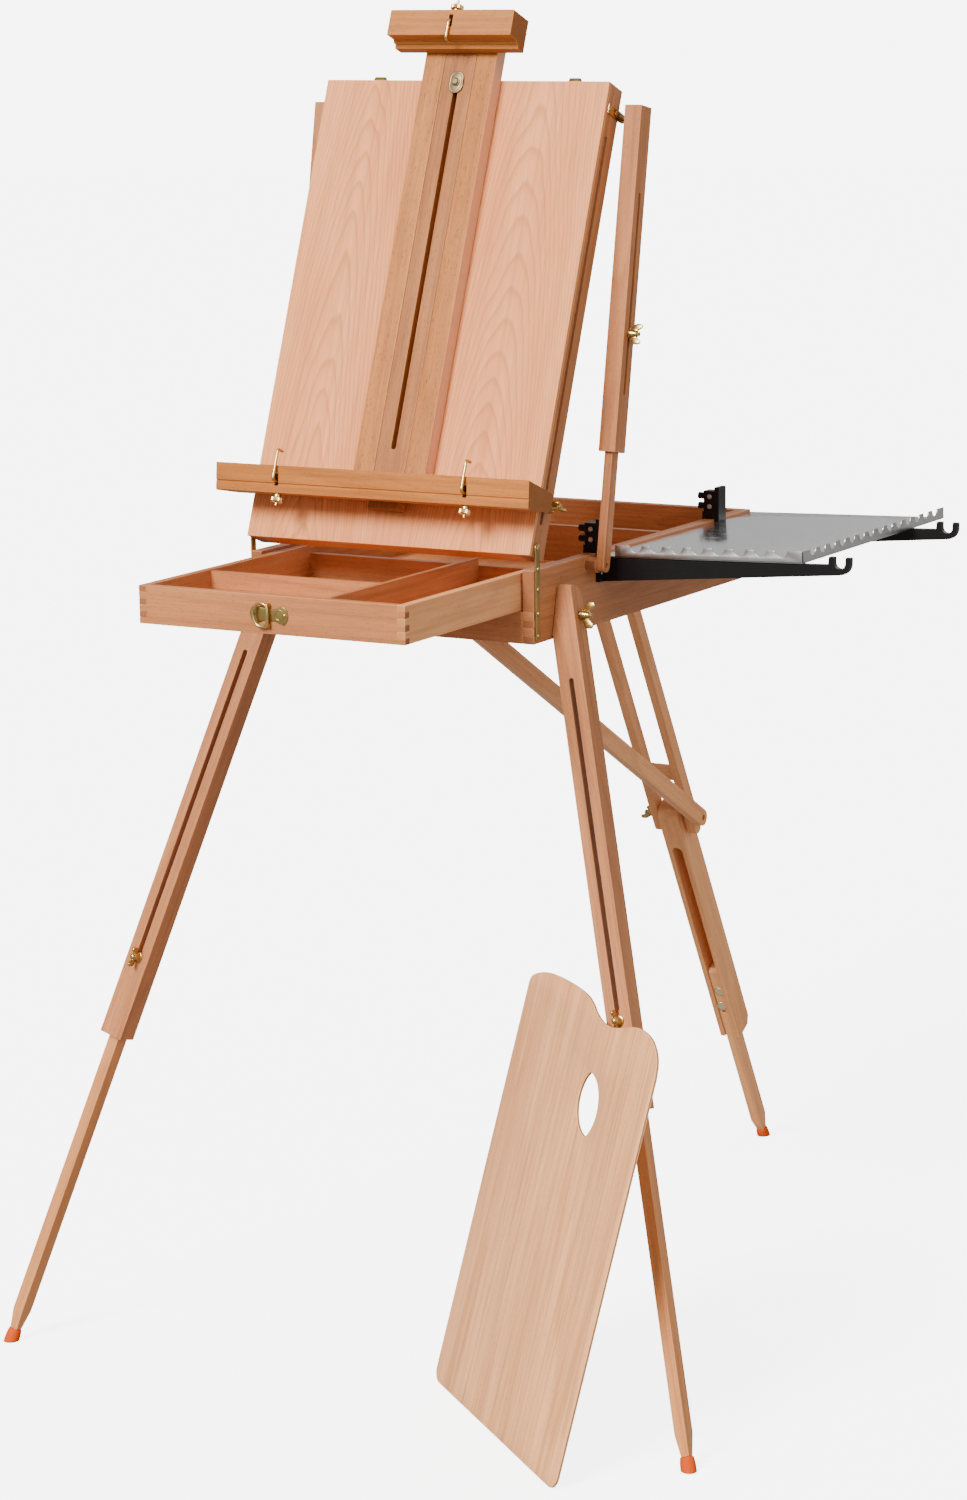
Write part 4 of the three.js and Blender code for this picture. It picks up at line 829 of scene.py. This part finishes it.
# Rounded bends where the rims turn up.
corner = (length - 1.3, 1.3, 1.3)
tray.tube([(RIM_FROM + 0.5, 1.3, 1.3), corner], BEND_RADIUS, 10)
tray.tube([corner, (length - 1.3, depth - 0.6, 1.3)], BEND_RADIUS, 10)
tray_metal = metal("tray_sheet", (0.82, 0.82, 0.83), 0.10, 0.10, 0.14, Y, 3.0, 0.01)
tray.build("side_tray_sheet", TRAY, "side_tray", "sheet_metal", tray_metal, "side_tray")
# Painted shade: the rims are bent up from the same sheet as the tray but get a darker grey.
rim_metal_shaded = metal("tray_rims", (0.46, 0.455, 0.45), 0.24, 0.14, 0.25, Z, 4.0, 0.02)
rims.build("side_tray_rims", TRAY, "side_tray", "sheet_metal", rim_metal_shaded)

# Screws that hold the clip arms.
for count, y in enumerate(ARM_Y):
    s = Shape()
    for z in (60, 72):
        s.screw("x", (191.2, y - 6.5, z), 1.8, 1, height=0.9)
    for z in (98, 110):
        s.lathe("y", (178, y, z), [(2.6, -9.2), (3.0, -8.8), (3.0, -7.6)], 20)
        s.lathe("y", (178, y, z), [(3.0, 7.6), (3.0, 8.8), (2.6, 9.2)], 20)
    steel = metal("arm_screw_%d" % count, SCREW_STEEL, 0.3, 0.2, 0.3, Z, count + 7.0)
    s.build("arm_screws_%d" % count, BOX, "side_tray", "black_steel", steel)

# ---------------------------------------------------------------- palette
PALETTE_WIDTH, PALETTE_CORNER, PALETTE_THICK = 372, 16, 4
THUMB_U, THUMB_V, THUMB_RADIUS, THUMB_OFF, THUMB_SLANT = 227, 396, 35, 10, 0.36


def through(points, steps=5):
    """Open smooth curve through the points, without its first point."""
    out = []
    p = [Vector(q) for q in [points[0]] + points + [points[-1]]]
    for a, b, c, d in zip(p, p[1:], p[2:], p[3:]):
        for i in range(1, steps + 1):
            t = i / steps
            bend = (2 * a - 5 * b + 4 * c - d) * t ** 2 + (3 * b - a - 3 * c + d) * t ** 3
            out.append(tuple(0.5 * (2 * b + (c - a) * t + bend)))
    return out


crest = [(PALETTE_WIDTH, 464), (368, 480), (358, 492), (340, 501), (316, 504), (296, 502), (274, 496)]
crest += [(252, 490), (232, 487), (212, 488), (194, 493), (176, 501), (152, 506), (100, 507)]
crest += [(44, 503), (8, 492), (0, 482)]
edge = arc(PALETTE_WIDTH - PALETTE_CORNER, PALETTE_CORNER, PALETTE_CORNER, -90, 0, 8) + [crest[0]]
edge += through(crest)
edge += arc(PALETTE_CORNER, PALETTE_CORNER, PALETTE_CORNER, 180, 270, 8)
lens = arc(-THUMB_OFF, 0, THUMB_RADIUS, -73, 73, 20) + arc(THUMB_OFF, 0, THUMB_RADIUS, 107, 253, 20)
slanted = [(THUMB_U + u - v * THUMB_SLANT, THUMB_V + v + u * THUMB_SLANT) for u, v in lens[::2]]
thumb = smooth_loop(slanted, 3)
board = Shape().plate("y", [edge, thumb[::-1]], -PALETTE_THICK, 0, 0.9)
board_face = PALETTE @ Vector((0, 0, 0))
board_back = PALETTE @ Vector((0, -PALETTE_THICK, 0))
OUT_PALETTE = direction(PALETTE, Y)
birch = timber(
    "palette_birch", direction(PALETTE, Z), OUT_PALETTE, BIRCH, 71, rings=9.0, figure=0.6, flecks=0.6,
    core_shade=0.3, streaks=0.7, layers=ply_layers(OUT_PALETTE, board_back, board_face),
)
board.build("palette_board", PALETTE, "palette", "birch_ply", birch, "palette")

# ---------------------------------------------------------------- small fittings on the wood
discs = Shape()
for x, z in ((1, -722), (-2, -750)):
    discs.screw("y", (x, -16.2, z), 7.0, -1, height=1.8)
discs.build("rear_discs", REAR, "rear_leg_lower", "brass", brass(X, DISC_BRASS))
stop_screw = Shape().screw("y", (0, -8, -345), 4.0, -1)
stop_screw.build("stop_screw", REAR, "rear_leg_frame", "brass", brass(X))

# ---------------------------------------------------------------- stage, light and camera
WHITE = (1.0, 1.0, 1.0, 1)
FLOOR_RADIUS, FLOOR_SIDES, FLOOR_DROP, FLOOR_GLOW = 3000, 64, 0.0002, 4.8
DOME_RADIUS, DOME_SIDES, DOME_RINGS, DOME_DROP, DOME_GLOW = 30, 48, 8, 0.05, 6.9


def circle(radius, height, sides):
    turns = [2 * math.pi * i / sides for i in range(sides)]
    return [(radius * math.cos(a), radius * math.sin(a), height) for a in turns]


def glowing(name, points, faces, tone, rough, specular, glow):
    """Pale surface that shines at the camera and lights nothing else."""
    mesh = bpy.data.meshes.new(name)
    mesh.from_pydata(points, [], faces)
    surface = bpy.data.objects.new(name, mesh)
    bpy.context.collection.objects.link(surface)
    pale = Nodes(name + "_pale")
    pale.set(Base_Color=(tone, tone, tone, 1), Roughness=rough)
    pale.shader.inputs["Specular IOR Level"].default_value = specular
    pale.shader.inputs["Emission Color"].default_value = WHITE
    pale.shader.inputs["Emission Strength"].default_value = glow
    mesh.materials.append(pale.material)
    surface.visible_diffuse = False
    surface.visible_glossy = False
    return surface


disc = circle(FLOOR_RADIUS, -FLOOR_DROP, FLOOR_SIDES)
floor = glowing("floor", disc, [tuple(range(FLOOR_SIDES))], 0.90, 0.9, 0.5, FLOOR_GLOW)

# A dome of the floor's own brightness closes the view above the horizon.
dome_points, dome_faces = [], []
for j in range(DOME_RINGS):
    rise = math.pi / 2 * j / DOME_RINGS
    height = DOME_RADIUS * math.sin(rise) - DOME_DROP
    dome_points += circle(DOME_RADIUS * math.cos(rise), height, DOME_SIDES)
for j in range(DOME_RINGS - 1):
    low_ring, high_ring = j * DOME_SIDES, (j + 1) * DOME_SIDES
    for i in range(DOME_SIDES):
        k = (i + 1) % DOME_SIDES
        dome_faces.append((low_ring + i, low_ring + k, high_ring + k, high_ring + i))
dome_faces.append(tuple((DOME_RINGS - 1) * DOME_SIDES + i for i in range(DOME_SIDES)))
dome = glowing("backdrop", dome_points, dome_faces, 0.0, 1.0, 0.0, DOME_GLOW)
dome.visible_shadow = False

world = bpy.data.worlds.new("studio")
bpy.context.scene.world = world
world.use_nodes = True
background = world.node_tree.nodes["Background"]
background.inputs["Color"].default_value = (1.0, 0.995, 0.985, 1)
background.inputs["Strength"].default_value = 0.55

LIGHT_TARGET, LIGHT_DISTANCE = Vector((0, 0, 0.85)), 4


def facing(azimuth, elevation):
    """Direction towards a light or the camera; angles are in radians and zero azimuth is the front."""
    level = math.cos(elevation)
    return Vector((math.sin(azimuth) * level, -math.cos(azimuth) * level, math.sin(elevation)))


def sun(name, azimuth, elevation, energy, spread, color):
    light = bpy.data.lights.new(name, "SUN")
    light.energy = energy
    light.angle = math.radians(spread)
    light.color = color
    holder = bpy.data.objects.new(name, light)
    back = facing(math.radians(azimuth), math.radians(elevation))
    holder.rotation_mode = "QUATERNION"
    holder.rotation_quaternion = back.to_track_quat("Z", "Y")
    holder.location = LIGHT_TARGET + back * LIGHT_DISTANCE
    bpy.context.collection.objects.link(holder)


sun("key", -9, 36, 7.0, 22, (1.0, 0.99, 0.97))
sun("fill", 62, 22, 1.0, 60, (0.99, 0.99, 1.0))
sun("back", 172, 42, 1.6, 50, (0.99, 0.99, 1.0))

# The camera looks from the front right, slightly above the box, through a long lens.
AZIMUTH, ELEVATION, ROLL = 27.92, 12.66, -0.42
CAMERA_FROM_ORIGIN = Vector((2.1722, -3.6364, 0.7129))
SENSOR, FOCAL_LENGTH = 36, 90.73296
camera_data = bpy.data.cameras.new("camera")
camera = bpy.data.objects.new("camera", camera_data)
bpy.context.collection.objects.link(camera)
bpy.context.scene.camera = camera
az, el, roll = (math.radians(a) for a in (AZIMUTH, ELEVATION, ROLL))
back = facing(az, el)
right = Vector((math.cos(az), math.sin(az), 0))
up = back.cross(right)
rolled = right * math.cos(roll) + up * math.sin(roll)
lifted = back.cross(rolled)
basis = Matrix((rolled, lifted, back)).transposed()
camera.matrix_world = Matrix.Translation(ORIGIN + CAMERA_FROM_ORIGIN) @ basis.to_4x4()
camera_data.sensor_width = SENSOR
camera_data.lens = FOCAL_LENGTH
camera_data.shift_x = -0.0666
camera_data.shift_y = 0.0574
camera_data.dof.use_dof = False
camera_data.clip_end = FLOOR_RADIUS * 2
